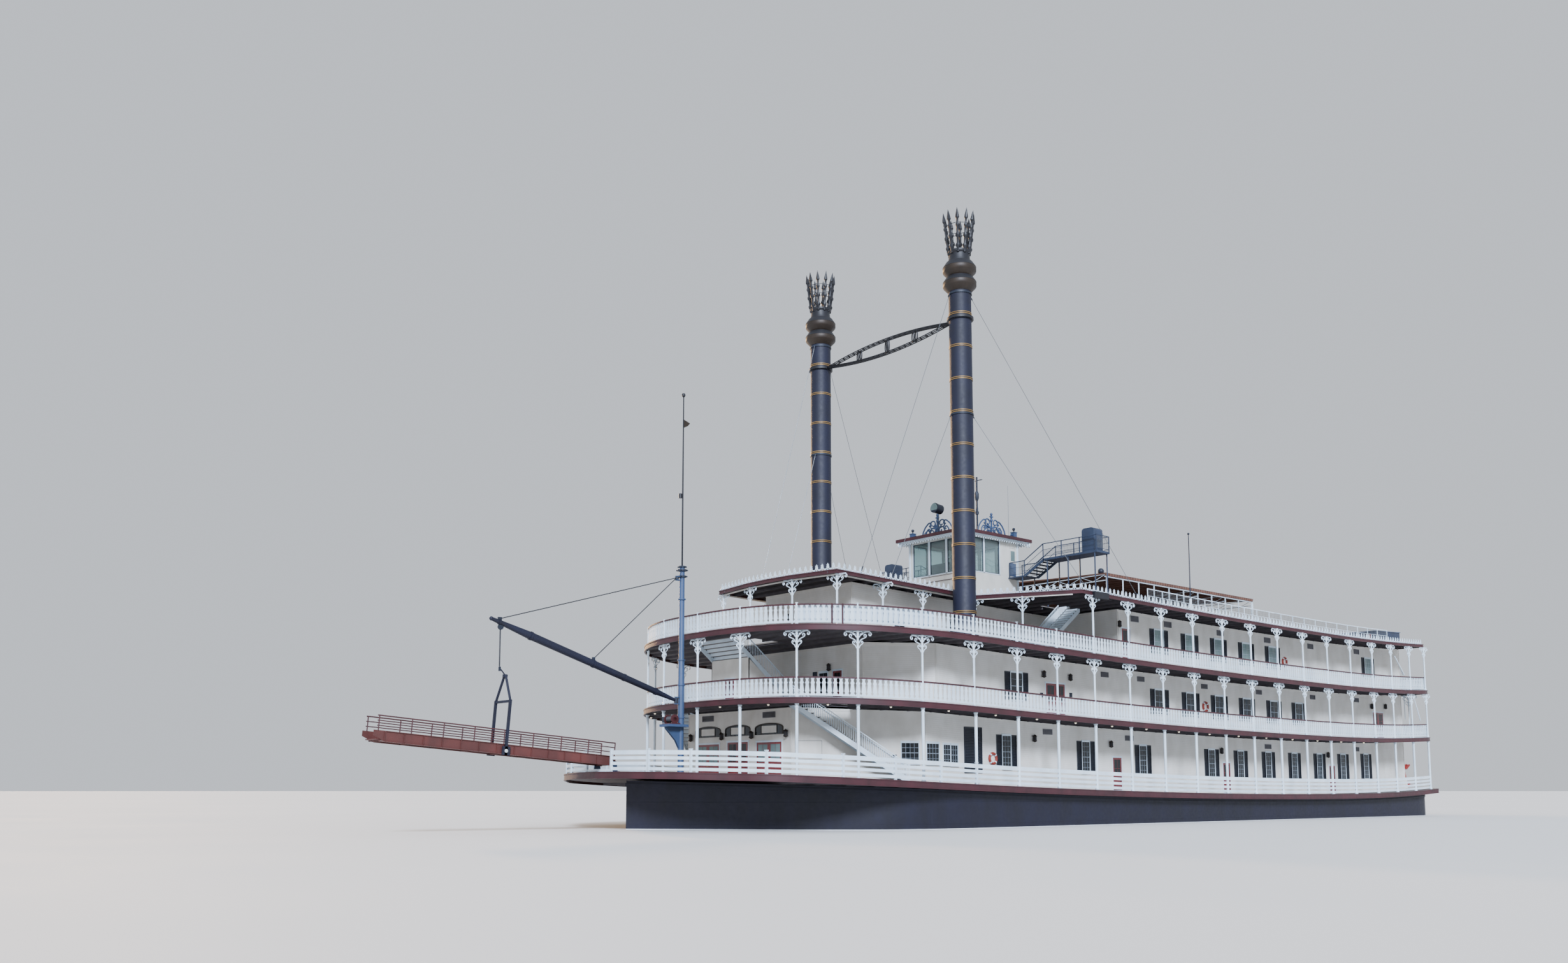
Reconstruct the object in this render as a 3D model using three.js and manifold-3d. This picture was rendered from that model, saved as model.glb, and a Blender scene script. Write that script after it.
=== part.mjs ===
// Sternwheel paddle boat, a 1:10 model in millimetres.
// X runs to the bow, Y to port and Z up; the origin is on the flat bottom, amidships.
import * as THREE from 'three';
import { mergeVertices } from 'three/addons/utils/BufferGeometryUtils.js';
import Module from 'manifold-3d';

const wasm = await Module();
wasm.setup();

// Driving sizes of the boat
const GAP = 0.3;                // between pieces that touch
const HALF_BEAM = 1180;         // half-breadth of the upper decks
const COLUMN_LINE = 1160;       // half-breadth of the rows of columns
const COLUMN_PITCH = 366;
const FIRST_COLUMN = 2562;      // X of the foremost column of the straight side
const SIDE_COLUMNS = 13;
const STERN = -2910;            // aft end of the upper decks
const BOW_CENTRE = 2640;        // centre of the upper decks' round bow
const BOW_REACH = 1365;         // and its reach ahead of that centre
const BOW_FULLNESS = 2.7;       // power of the bow's oval: 2 is an ellipse, and more is squarer
const TOP_OF_ALL = 6000;

// Sheer: how far each deck rises above its level amidships
const SHEER_LOW = -915;
const SHEER_BOW = { rise: 60, run: 3843, power: 2 };
const SHEER_STERN = { rise: 46, run: 2013, power: 2.5 };
const STATIONS = [-4200, -2930, -2200, -1500, SHEER_LOW, 200, 1200, 2200, 3000, 3800, 4700, 6200];

// Level of each deck's top and of the underside of the deck above it, amidships
const LEVELS = {
  main: { floor: 395, under: 794 },
  boiler: { floor: 827, under: 1190 },
  texas: { floor: 1222, under: 1587 },
  roof: { floor: 1610, under: TOP_OF_ALL },
};
const MAIN_DECK_DEPTH = 36;

const HOUSE = { halfBreadth: 920, wall: 10, aft: -2820 };
const WHEEL = { x: -3480, z: 480, radius: 366, width: 490, side: 55, arms: 12, shaft: 16 };
const STACK = { x: 2436, y: 655, radius: 71, tip: 4070 };
const MAST = { x: 4100, radius: 15, table: 790, head: 1690, truck: 2700 };
const BOOM = { axisX: 4135, heelZ: 925, tipX: 5296, tipZ: 1293, headZ: 1622 };
const STAGE = { hingeX: 4595, hingeZ: 566, length: 1330, halfWidth: 72, slope: 4.4, bridleX: 5236 };
const PILOTHOUSE = { aft: 1440, front: 1960, halfWidth: 260, floor: 1875, eave: 2128 };
const DOOR = { width: 92, height: 208, thickness: 5, sill: 10, jamb: 2 };

const trueSheer = (x) => {
  const end = x > SHEER_LOW ? SHEER_BOW : SHEER_STERN;
  return end.rise * (Math.abs(x - SHEER_LOW) / end.run) ** end.power;
};

// The decks are built with straight runs between the stations
function sheer(x) {
  const k = Math.min(STATIONS.length - 2, Math.max(0, STATIONS.findIndex((s) => s > x) - 1));
  const [a, b] = [STATIONS[k], STATIONS[k + 1]];
  return trueSheer(a) + (trueSheer(b) - trueSheer(a)) * (x - a) / (b - a);
}

// A closed geometry as a solid that can be joined and cut
function solid(geometry) {
  const bare = geometry.index ? geometry.toNonIndexed() : geometry.clone();
  bare.deleteAttribute('normal');
  bare.deleteAttribute('uv');
  const merged = mergeVertices(bare, 1e-4);
  const kept = [];
  const index = merged.index.array;
  for (let i = 0; i < index.length; i += 3) {
    const [a, b, c] = index.slice(i, i + 3);
    if (a !== b && b !== c && c !== a) kept.push(a, b, c);
  }
  return new wasm.Manifold(new wasm.Mesh({
    numProp: 3,
    vertProperties: new Float32Array(merged.attributes.position.array),
    triVerts: new Uint32Array(kept),
  }));
}

const join = (...pieces) => pieces.flat().reduce((whole, piece) => whole.add(piece));
const cut = (whole, ...tools) => tools.flat().reduce((rest, tool) => rest.subtract(tool), whole);

const shapeOf = (points) => new THREE.Shape(points.map(([x, y]) => new THREE.Vector2(x, y)));

// An upright prism on a plan outline
function prism(points, low, high) {
  const geometry = new THREE.ExtrudeGeometry(shapeOf(points), { depth: high - low, bevelEnabled: false });
  return solid(geometry.translate(0, 0, low));
}

// A plate whose outline is drawn in X and Z, from one Y to another
function plateXZ(shape, y0, y1, curveSegments = 12) {
  const outline = Array.isArray(shape) ? shapeOf(shape) : shape;
  const options = { depth: y1 - y0, bevelEnabled: false, curveSegments };
  return solid(new THREE.ExtrudeGeometry(outline, options).rotateX(Math.PI / 2).translate(0, y1, 0));
}

const box = (x0, x1, y0, y1, z0, z1) => solid(
  new THREE.BoxGeometry(x1 - x0, y1 - y0, z1 - z0).translate((x0 + x1) / 2, (y0 + y1) / 2, (z0 + z1) / 2));

// A straight rod between two points
function rod(from, to, radius, sides = 6, endRadius = radius) {
  const [a, b] = [new THREE.Vector3(...from), new THREE.Vector3(...to)];
  const geometry = new THREE.CylinderGeometry(endRadius, radius, a.distanceTo(b), sides);
  const turn = new THREE.Quaternion().setFromUnitVectors(
    new THREE.Vector3(0, 1, 0), b.clone().sub(a).normalize());
  geometry.applyQuaternion(turn);
  const middle = a.add(b).multiplyScalar(0.5);
  return solid(geometry.translate(middle.x, middle.y, middle.z));
}

// A turned form standing at x, y; the profile is rows of [radius, height]
function turned(x, y, profile, sides = 12) {
  const points = profile.map(([radius, height]) => new THREE.Vector2(radius, height));
  return solid(new THREE.LatheGeometry(points, sides).rotateX(Math.PI / 2).translate(x, y, 0));
}

// Everything between two levels that follow the sheer
function band(low, high) {
  const lower = STATIONS.map((x) => [x, low + sheer(x)]);
  const upper = STATIONS.map((x) => [x, high + sheer(x)]).reverse();
  return plateXZ([...lower, ...upper], -1500, 1500);
}

const sheered = (points, low, high) => prism(points, -100, 3000).intersect(band(low, high));
const mirrorY = (points) => points.map(([x, y]) => [x, -y]).reverse();
const bothSides = (half) => [...half, ...mirrorY(half).filter(([, y]) => y !== 0)];
const port = (side) => (side === 'port' ? 1 : -1);
const mirrored = (piece, side) => (side === 'port' ? piece : piece.mirror([0, 1, 0]));

// A strip of even width along an open path in plan
function strip(path, width) {
  const offset = (sign) => path.map((point, i) => {
    const before = path[Math.max(0, i - 1)];
    const after = path[Math.min(path.length - 1, i + 1)];
    const into = new THREE.Vector2(point[0] - before[0], point[1] - before[1]).normalize();
    const out = new THREE.Vector2(after[0] - point[0], after[1] - point[1]).normalize();
    const along = into.clone().add(out).normalize();
    const edge = into.lengthSq() > 0 ? into : out;
    const reach = sign * width / 2 / Math.max(0.3, along.dot(edge));
    return [point[0] - along.y * reach, point[1] + along.x * reach];
  });
  return [...offset(-1), ...offset(1).reverse()];
}

// Plan outlines, port half from the bow aft; the starboard half mirrors it
const MAIN_DECK_HALF = [[4660, 0], [4640, 200], [4580, 400], [4490, 600], [4360, 780], [4260, 930],
  [4120, 1030], [3900, 1110], [3600, 1165], [3300, 1185], [-2860, 1185], [-2930, 1100]];
const HULL_HALF = [[4460, 0], [4100, 430], [3800, 770], [3500, 1010], [3200, 1100], [2900, 1125],
  [-2700, 1125], [-2900, 1050]];
const ROOF_HALF = [[3468, 0], [3460, 200], [3408, 550], [2210, 550], [1940, 1165], [-2760, 1165],
  [-2800, 1120]];

const fuller = (share) => Math.sign(share) * Math.abs(share) ** (2 / BOW_FULLNESS);
const bowPoint = (degrees, inset) => {
  const angle = THREE.MathUtils.degToRad(degrees);
  return [BOW_CENTRE + (BOW_REACH - inset) * fuller(Math.cos(angle)),
    (HALF_BEAM - inset) * fuller(Math.sin(angle))];
};

// Upper decks: half a full oval at the bow, straight sides and a rounded stern
function upperDeckHalf(inset) {
  const arc = [0, 4, 12, 21, 30.5, 40, 49.2, 59, 68.2, 76, 83, 90].map((degrees) => bowPoint(degrees, inset));
  const side = HALF_BEAM - inset;
  return [...arc, [STERN + 200, side], [STERN + 60 + inset / 2, side - 60], [STERN + inset, side - 200]];
}

const parts = new THREE.Group();

// Finishes: [colour, roughness, metalness]
const FINISHES = {
  hullNavy: ['#23243f', 0.45, 0.1],
  oxblood: ['#6b2f33', 0.5, 0],
  white: ['#dfe8f2', 0.5, 0],
  siding: ['#d9d2c2', 0.7, 0],
  deck: ['#7a6b5a', 0.8, 0],
  wheelRed: ['#9a2a26', 0.5, 0],
  navy: ['#242846', 0.4, 0.1],
  steel: ['#5d7391', 0.45, 0.3],
  redOxide: ['#6d3a33', 0.6, 0],
  awningBrown: ['#6e4a3c', 0.8, 0],
  wire: ['#3a3a40', 0.5, 0.6],
};

function add(name, finish, piece) {
  const mesh = piece.getMesh();
  const geometry = new THREE.BufferGeometry();
  geometry.setAttribute('position', new THREE.BufferAttribute(new Float32Array(mesh.vertProperties), 3));
  geometry.setIndex(new THREE.BufferAttribute(new Uint32Array(mesh.triVerts), 1));
  const [color, roughness, metalness] = FINISHES[finish];
  const node = new THREE.Mesh(geometry, new THREE.MeshStandardMaterial({ color, roughness, metalness }));
  node.name = name;
  parts.add(node);
}

// Hull: wall-sided, flat bottom with bevelled bilges, raised under the stern
const RAKE = { from: -1800, to: -2950, rise: 172 };
const RUDDER = { x: -2750, y: 450, ahead: 130, aft: 180, low: 15, high: 100, thickness: 12, stock: 10 };

function hull() {
  const side = plateXZ([[RAKE.to, RAKE.rise], [RAKE.from, 0], [4380, 0], [4460, 60], [4460, 600],
    [RAKE.to, 600]], -1200, 1200);
  const bilge = 28;
  const section = shapeOf([[-1140, bilge], [-1125 + bilge, 0], [1125 - bilge, 0], [1140, bilge],
    [1140, 600], [-1140, 600]]);
  const ribs = new THREE.ExtrudeGeometry(section, { depth: 7600, bevelEnabled: false });
  ribs.rotateX(Math.PI / 2).rotateZ(Math.PI / 2).translate(-3000, 0, 0);
  const deckUnderside = LEVELS.main.floor - MAIN_DECK_DEPTH - GAP;
  const body = prism(bothSides(HULL_HALF), 0, 700).intersect(side).intersect(solid(ribs))
    .intersect(band(-400, deckUnderside));
  const bores = [1, -1].map((hand) => rod([RUDDER.x, hand * RUDDER.y, 100],
    [RUDDER.x, hand * RUDDER.y, 195], RUDDER.stock + 0.8, 12));
  return cut(body, bores);
}
add('hull', 'hullNavy', hull());

// The main house's front has an angled cheek at each end; these are the port cheek's ends
const CHEEK = { from: [3090, 920], to: [3685, 475] };

// A point this far along the port cheek from its after end, and this far out from it
function besideCheek(distance, out) {
  const [x, y] = CHEEK.from;
  const along = new THREE.Vector2(CHEEK.to[0] - x, CHEEK.to[1] - y).normalize();
  return [x + along.x * distance - along.y * out, y + along.y * distance + along.x * out];
}

// Stairs, one row a flight: plan start and end, levels, width and stairwell length.
// The central flight stands over a closed box; the others are on both sides, drawn to port.
const STAIRS = [
  { name: 'main_stair', from: besideCheek(100, 66), to: besideCheek(760, 66), low: 'main', high: 'boiler',
    width: 110, well: 340 },
  { name: 'boiler_stair', from: [3375, 0], to: [3890, 0], low: 'boiler', high: 'texas', width: 352, well: 400,
    boxedTo: 375 },
  { name: 'texas_stair', from: [1830, 650], to: [1345, 650], low: 'texas', high: 'roof',
    width: 110, well: 330 },
];
const STAIR = { steps: 9, slab: 26, panel: 4, rail: 95, wellMargin: 8, endMargin: 1, foot: 30 };

function stairAxis({ from, to }) {
  const [dx, dy] = [to[0] - from[0], to[1] - from[1]];
  const run = Math.hypot(dx, dy);
  return { run, heading: Math.atan2(dy, dx), along: [dx / run, dy / run] };
}

// The hole in the upper deck over a flight, which ends at its top step
function stairwell(flight) {
  const { along } = stairAxis(flight);
  const half = flight.width / 2 + STAIR.wellMargin;
  const corner = (back, out) => [flight.to[0] - along[0] * back - along[1] * out,
    flight.to[1] - along[1] * back + along[0] * out];
  const [start, end] = [flight.well, -STAIR.endMargin];
  return prism([corner(start, -half), corner(end, -half), corner(end, half), corner(start, half)], 0, 3000);
}

// A flight is a stepped slab between two sloping balustrades
function stair(flight) {
  const { run, heading } = stairAxis(flight);
  const low = LEVELS[flight.low].floor + sheer(flight.from[0]);
  const rise = LEVELS[flight.high].floor + sheer(flight.to[0]) - low;
  const half = flight.width / 2;
  const { slab, rail, steps, foot, panel } = STAIR;
  const tread = (run - 4) / (steps - 1);
  const nosings = [...Array(steps).keys()].flatMap((k) => {
    const z = rise * (k + 1) / steps - 4;
    return [[k * tread, z - rise / steps], [k * tread, z]].slice(k ? 0 : 1);
  });
  const soffitTop = rise - rise / steps - slab;
  const flightSlab = plateXZ([[0, -foot], [slab, -foot], [run, soffitTop], [run, rise - 4],
    ...nosings.reverse()], -half, half);
  const panels = [-half, half - panel].map((y) => plateXZ(
    [[2, 0], [run - 6, rise - slab], [run - 6, rise + rail - 8], [2, rail]], y, y + panel));
  const walls = [];
  if (flight.boxedTo) {
    const underside = (x) => -foot + (soffitTop + foot) * (x - slab) / (run - slab) + 2;
    const to = flight.boxedTo;
    const side = (from) => [[from, -foot], [to, -foot], [to, underside(to)], [from, underside(from)]];
    for (const y of [-half, half - panel]) walls.push(plateXZ(side(slab + foot), y, y + panel));
    walls.push(plateXZ(side(to - panel), -half, half));
  }
  const whole = join(flightSlab, panels, walls).rotate([0, 0, THREE.MathUtils.radToDeg(heading)])
    .translate([flight.from[0], flight.from[1], low]);
  return whole.intersect(band(LEVELS[flight.low].floor + GAP, TOP_OF_ALL));
}

for (const flight of STAIRS) {
  if (flight.boxedTo) {
    add(flight.name, 'white', stair(flight));
    continue;
  }
  for (const side of ['port', 'starboard']) {
    add(`${side}_${flight.name}`, 'white', mirrored(stair(flight), side));
  }
}
const wells = (level) => STAIRS.filter(({ high }) => high === level).map((flight) => stairwell(flight))
  .flatMap((well) => [well, well.mirror([0, 1, 0])]);

// Decks, each with its dark red edge band, and the plates that carry the landing stage
const STAGE_HINGE = { foot: 28, spread: 82, plate: 6 };
const stageLug = (y) => {
  const lug = new THREE.Shape();
  lug.moveTo(STAGE.hingeX - STAGE_HINGE.foot, 480);
  lug.lineTo(STAGE.hingeX + STAGE_HINGE.foot, 480);
  lug.lineTo(STAGE.hingeX + 14, STAGE.hingeZ + 10);
  lug.lineTo(STAGE.hingeX - 14, STAGE.hingeZ + 10);
  const eye = new THREE.Path();
  eye.absarc(STAGE.hingeX, STAGE.hingeZ - 4, 6.8, 0, Math.PI * 2, true);
  lug.holes.push(eye);
  return plateXZ(lug, y - 4, y + 4, 6);
};

// The main deck is in two parts, which meet under the front of its house
const DECK_SEAM = 3000;
const mainDeckPart = (from, to) => sheered(bothSides(MAIN_DECK_HALF), LEVELS.main.floor - MAIN_DECK_DEPTH,
  LEVELS.main.floor).intersect(box(from, to, -1500, 1500, 0, 900));
add('main_deck', 'oxblood', mainDeckPart(-3100, DECK_SEAM));
add('fore_deck', 'oxblood', mainDeckPart(DECK_SEAM + GAP, 4800));

function stageHinge() {
  const { foot, spread, plate } = STAGE_HINGE;
  const { floor } = LEVELS.main;
  const lugs = [spread, -spread].map((y) => stageLug(y).intersect(band(floor + GAP, TOP_OF_ALL)));
  const base = box(STAGE.hingeX - foot - 4, STAGE.hingeX + foot + 4, -spread - 10, spread + 10, 400, 700)
    .intersect(band(floor + GAP, floor + plate));
  return join(base, lugs);
}
add('stage_hinge', 'steel', stageHinge());

for (const [level, below] of [['boiler', 'main'], ['texas', 'boiler']]) {
  const slab = sheered(bothSides(upperDeckHalf(0)), LEVELS[below].under, LEVELS[level].floor);
  add(`${level}_deck`, 'oxblood', cut(slab, wells(level)));
}
add('hurricane_roof', 'oxblood',
  cut(sheered(bothSides(ROOF_HALF), LEVELS.texas.under, LEVELS.roof.floor), wells('roof')));

// Columns and balustrades along the deck edges
const COLUMN = { main: 10, boiler: 7.5, texas: 7.5, seat: 0.6 };
const RAIL = { cap: 112, foot: 10, width: 6, post: 116 };
const STERN_COLUMNS = [-2160, -2490, -2770];
const EDGE_INSET = HALF_BEAM - COLUMN_LINE;
const BOW_COLUMNS = [-68.2, -49.2, -30.5, -12, 0, 12, 30.5, 49.2, 68.2];
const SHOULDER = 82.8;          // degrees round the bow of the column at each shoulder
const SIDE_RAIL_FROM = 69.2;    // degrees round the bow, just aft of its last column

// A column's place and the heading of the rail that passes it
const onSide = (x, y) => ({ at: [x, y], heading: 0 });
function onBow(degrees) {
  const [[x0, y0], [x1, y1]] = [bowPoint(degrees - 1, EDGE_INSET), bowPoint(degrees + 1, EDGE_INSET)];
  return { at: bowPoint(degrees, EDGE_INSET), heading: Math.atan2(y1 - y0, x1 - x0) };
}
const sideColumns = (first, y) => [...Array(SIDE_COLUMNS).keys()].map((i) => FIRST_COLUMN - i * COLUMN_PITCH)
  .concat(STERN_COLUMNS).filter((x) => x <= first + 1).map((x) => onSide(x, y));

const upright = ([x, y], half, low, high) => box(x - half, x + half, y - half, y + half,
  low + sheer(x) + COLUMN.seat, high + sheer(x) - COLUMN.seat);

const balustrade = (path, floor) => sheered(strip(path, RAIL.width), floor + RAIL.foot, floor + RAIL.cap);

// Brackets spread from the head of a column both ways along the rail
const BRACKET = { reach: 82, drop: 92, thickness: 4, below: 4 };
function brackets({ at: [x, y], heading }, under) {
  const { reach, drop, thickness, below } = BRACKET;
  const outline = [[0, -below], [reach, -below], [reach * 0.3, -drop * 0.3], [0, -drop]];
  return [0, 180].map((turn) => plateXZ(outline, -thickness / 2, thickness / 2)
    .rotate([0, 0, THREE.MathUtils.radToDeg(heading) + turn]).translate([x, y, under + sheer(x)]));
}

// The first columns of the list reach the deck above; the others stop above the rail
function colonnade(level, path, columns, tall = columns.length) {
  const { floor, under } = LEVELS[level];
  const top = (i) => (i < tall ? under : floor + RAIL.post);
  const posts = columns.map(({ at }, i) => upright(at, COLUMN[level], floor, top(i)));
  const scrolls = columns.slice(0, tall).flatMap((column) => brackets(column, under));
  return join(posts, scrolls, balustrade(path, floor));
}

for (const level of ['boiler', 'texas']) {
  const roofed = level === 'texas' ? 1830 : FIRST_COLUMN;
  for (const side of ['port', 'starboard']) {
    const y = port(side) * COLUMN_LINE;
    const shoulder = onBow(port(side) * SHOULDER);
    const along = sideColumns(roofed, y);
    const ahead = sideColumns(FIRST_COLUMN, y).slice(0, SIDE_COLUMNS + STERN_COLUMNS.length - along.length);
    const [railX, railY] = bowPoint(SIDE_RAIL_FROM, EDGE_INSET);
    const path = [[railX, port(side) * railY], shoulder.at, [BOW_CENTRE, y], [STERN_COLUMNS.at(-1), y]];
    const tall = level === 'texas' ? along.length : along.length + 1;
    add(`${level}_deck_${side}_columns`, 'white', colonnade(level, path,
      level === 'texas' ? [...along, shoulder, ...ahead] : [shoulder, ...along], tall));
  }
  const bow = BOW_COLUMNS.map(onBow);
  add(`${level}_deck_bow_columns`, 'white', colonnade(level, bow.map(({ at }) => at), bow,
    level === 'boiler' ? bow.length : 0));
  const sternX = STERN + EDGE_INSET;
  const stern = [-960, -320, 320, 960].map((y) => ({ at: [sternX, y], heading: Math.PI / 2 }));
  add(`${level}_deck_stern_columns`, 'white', colonnade(level,
    [[sternX, COLUMN_LINE - 200], [sternX, -COLUMN_LINE + 200]], stern,
    level === 'boiler' ? stern.length : 0));
}

// Main deck: bow columns stand inside the deck edge and carry one beam under the boiler deck;
// the last on each side stands just inside the fence
const MAIN_SHOULDER = [2906, 1141];
function mainBowColumns() {
  const { floor, under } = LEVELS.main;
  const points = [...mirrorY([MAIN_SHOULDER]), ...BOW_COLUMNS.map((degrees) => onBow(degrees).at),
    MAIN_SHOULDER];
  const posts = points.map((at) => upright(at, COLUMN.main, floor, under));
  return join(posts, sheered(strip(points, 8), under - 14, under - GAP));
}
add('main_deck_bow_columns', 'white', mainBowColumns());

// A fence of four boards, [lowest, highest] above the deck, runs round the main deck
const FENCE = { boards: [[8, 24], [36, 52], [64, 80], [90, 112]], kick: 14, thickness: 5, height: 114,
  stageOpening: 110, post: 6 };
const FENCE_HALF = [[4648, 0], [4636, 120], [4575, 375], [4470, 600], [4240, 925], [3880, 1100], [3560, 1156],
  [3230, 1172]];
const fenceBoards = (path) => join(FENCE.boards.map(([low, high]) => sheered(strip(path, FENCE.thickness),
  LEVELS.main.floor + low, LEVELS.main.floor + high)));

for (const side of ['port', 'starboard']) {
  const { floor, under } = LEVELS.main;
  const y = port(side) * COLUMN_LINE;
  const posts = sideColumns(FIRST_COLUMN, y).map(({ at }) => upright(at, COLUMN.main, floor, under));
  const foremost = upright([2928, y], FENCE.post, floor, floor + FENCE.height);
  const path = [[3220, y + port(side) * 11], [2928, y], [STERN_COLUMNS.at(-1), y]];
  add(`main_deck_${side}_columns`, 'white', join(posts, foremost, fenceBoards(path)));
}

function bowFence() {
  const { floor } = LEVELS.main;
  const path = [...mirrorY(FENCE_HALF.slice(1)), ...FENCE_HALF];
  const opening = box(4400, 4800, -FENCE.stageOpening, FENCE.stageOpening, 0, 900);
  const kick = sheered(strip(path, FENCE.thickness), floor + GAP, floor + FENCE.kick)
    .intersect(box(4600, 4800, -140, 140, 0, 900));
  const posts = bothSides(FENCE_HALF.slice(1))
    .map((at) => upright(at, FENCE.post, floor, floor + FENCE.height));
  return join(kick, cut(fenceBoards(path), opening), posts);
}
add('bow_fence', 'white', bowFence());

// Texas roof columns ahead of the stacks: [x, y] on the port side, under one edge beam
const ROOF_COLUMNS = [[3440, 197], [3388, 530], [3010, 522], [2665, 522], [2215, 522], [2085, 820]];
function roofColumns() {
  const { floor, under } = LEVELS.texas;
  const path = [[1960, 1110], [2215, 522], [3388, 530], [3440, 197]];
  const posts = bothSides(ROOF_COLUMNS).map((at) => upright(at, COLUMN.texas, floor, under));
  return join(posts, sheered(strip([...path, ...mirrorY(path)], 8), under - 16, under - GAP));
}
add('texas_roof_columns', 'white', roofColumns());

// Houses: a front with angled cheeks, and sides with the stern wall; on the main deck that wall is
// a piece of its own
const HOUSES = [
  { level: 'main', path: [CHEEK.from, CHEEK.to, ...mirrorY([CHEEK.from, CHEEK.to])], sideFrom: 3084 },
  { level: 'boiler', path: [[2990, 920], [3280, 630], [3280, -630], [2990, -920]], sideFrom: 2984 },
  { level: 'texas', path: [[1238, 918], [1238, 390], [3140, 390], [3140, -390], [1238, -390], [1238, -918]],
    sideFrom: 1230 },
];

// Double doors: the wall's outward axis and outer face, the doorway's centre and its two leaves
const DOORWAYS = [
  { name: 'front_door', level: 'main', wall: 'x', face: CHEEK.to[0] + HOUSE.wall / 2, center: 0,
    leaves: { port: 1, starboard: -1 } },
  { name: 'port_side_door', level: 'boiler', wall: 'y', face: 925, center: 1913,
    leaves: { fore: 1, aft: -1 } },
  { name: 'starboard_side_door', level: 'boiler', wall: 'y', face: -925, center: 1913,
    leaves: { fore: 1, aft: -1 } },
];
const doorFoot = ({ level, wall, face, center }) => LEVELS[level].floor + DOOR.sill
  + sheer((wall === 'x' ? face : center) + DOOR.width);

function doorBox({ wall, face, center }, from, to, inner, outer, low, high) {
  const away = Math.sign(face);
  const [near, far] = [face + away * inner, face + away * outer].sort((a, b) => a - b);
  const [start, end] = [center + from, center + to].sort((a, b) => a - b);
  return wall === 'x' ? box(near, far, start, end, low, high) : box(start, end, near, far, low, high);
}

const doorways = (level) => DOORWAYS.filter((doorway) => doorway.level === level).map((doorway) => {
  const low = doorFoot(doorway);
  const half = DOOR.width + DOOR.jamb;
  return doorBox(doorway, -half, half, -40, 40, low - DOOR.jamb, low + DOOR.height + DOOR.jamb);
});

for (const { level, path, sideFrom } of HOUSES) {
  const { floor, under } = LEVELS[level];
  const walls = (line) => sheered(strip(line, HOUSE.wall), floor + GAP, under - GAP);
  const sides = [[sideFrom, HOUSE.halfBreadth], [HOUSE.aft, HOUSE.halfBreadth],
    [HOUSE.aft, -HOUSE.halfBreadth], [sideFrom, -HOUSE.halfBreadth]];
  const openings = doorways(level);
  add(`${level}_house_front`, 'siding', cut(walls([...path].reverse()), openings));
  if (level !== 'main') {
    add(`${level}_house_sides`, 'siding', cut(walls(sides), openings));
    continue;
  }
  const aftEnd = HOUSE.aft + HOUSE.wall / 2;
  for (const side of ['port', 'starboard']) {
    const y = port(side) * HOUSE.halfBreadth;
    add(`main_house_${side}_side`, 'siding', walls([[sideFrom, y], [aftEnd + GAP, y]]));
  }
  const corner = HOUSE.halfBreadth + HOUSE.wall / 2;
  add('main_house_stern', 'siding', walls([[HOUSE.aft, corner], [HOUSE.aft, -corner]]));
}

for (const doorway of DOORWAYS) {
  const low = doorFoot(doorway);
  for (const [hand, sign] of Object.entries(doorway.leaves)) {
    add(`${doorway.name}_${hand}`, 'oxblood', doorBox(doorway, sign * (DOOR.width + DOOR.jamb - 0.6),
      sign * 1.2, -DOOR.thickness, 0, low, low + DOOR.height));
  }
}

// Pilothouse: walls with windows all round, a roof with wide eaves, and its port door
const PH_ROOF = { aft: 1338, front: 2050, halfWidth: 311, thickness: 22, crown: 34 };
const PH_DOOR = { hinge: 1452, width: 70, low: 1878, height: 200 };
function pilothouseWalls() {
  const { aft, front, halfWidth, eave } = PILOTHOUSE;
  const outer = box(aft, front, -halfWidth, halfWidth, 1500, eave);
  const inner = box(aft + 8, front - 8, -halfWidth + 8, halfWidth - 8, 1400, eave + 10);
  const floorPlate = box(aft + 4, front - 4, -halfWidth + 4, halfWidth - 4,
    PILOTHOUSE.floor - 6, PILOTHOUSE.floor);
  const pane = { endWidth: 138, sideWidth: 148, low: 1884, high: 2112 };
  const across = [-158, 0, 158].map((y) => box(aft - 20, front + 20, y - pane.endWidth / 2,
    y + pane.endWidth / 2, pane.low, pane.high));
  const along = [1705, 1870].map((x) => box(x - pane.sideWidth / 2, x + pane.sideWidth / 2,
    -halfWidth - 20, halfWidth + 20, pane.low, pane.high));
  const door = box(PH_DOOR.hinge - 0.6, PH_DOOR.hinge + PH_DOOR.width + 2, halfWidth - 20, halfWidth + 20,
    PH_DOOR.low - 1.5, PH_DOOR.low + PH_DOOR.height + 1.5);
  return cut(join(cut(outer, inner), floorPlate), across, along, door)
    .intersect(band(LEVELS.roof.floor + GAP, TOP_OF_ALL));
}
add('pilothouse_walls', 'white', pilothouseWalls());
add('pilothouse_door', 'white', box(PH_DOOR.hinge, PH_DOOR.hinge + PH_DOOR.width, PILOTHOUSE.halfWidth - 5,
  PILOTHOUSE.halfWidth, PH_DOOR.low, PH_DOOR.low + PH_DOOR.height));

function pilothouseRoof() {
  const { aft, front, halfWidth, thickness, crown } = PH_ROOF;
  const low = PILOTHOUSE.eave + GAP;
  const slab = box(aft, front, -halfWidth, halfWidth, low, low + thickness);
  const hip = new THREE.CylinderGeometry(0.55, 1, crown, 4, 1).rotateY(Math.PI / 4).rotateX(Math.PI / 2);
  hip.scale((front - aft - 30) / Math.SQRT2, (2 * halfWidth - 30) / Math.SQRT2, 1);
  hip.translate((aft + front) / 2, 0, low + thickness + crown / 2 - 1);
  return join(slab, solid(hip));
}
add('pilothouse_roof', 'oxblood', pilothouseRoof());

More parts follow.
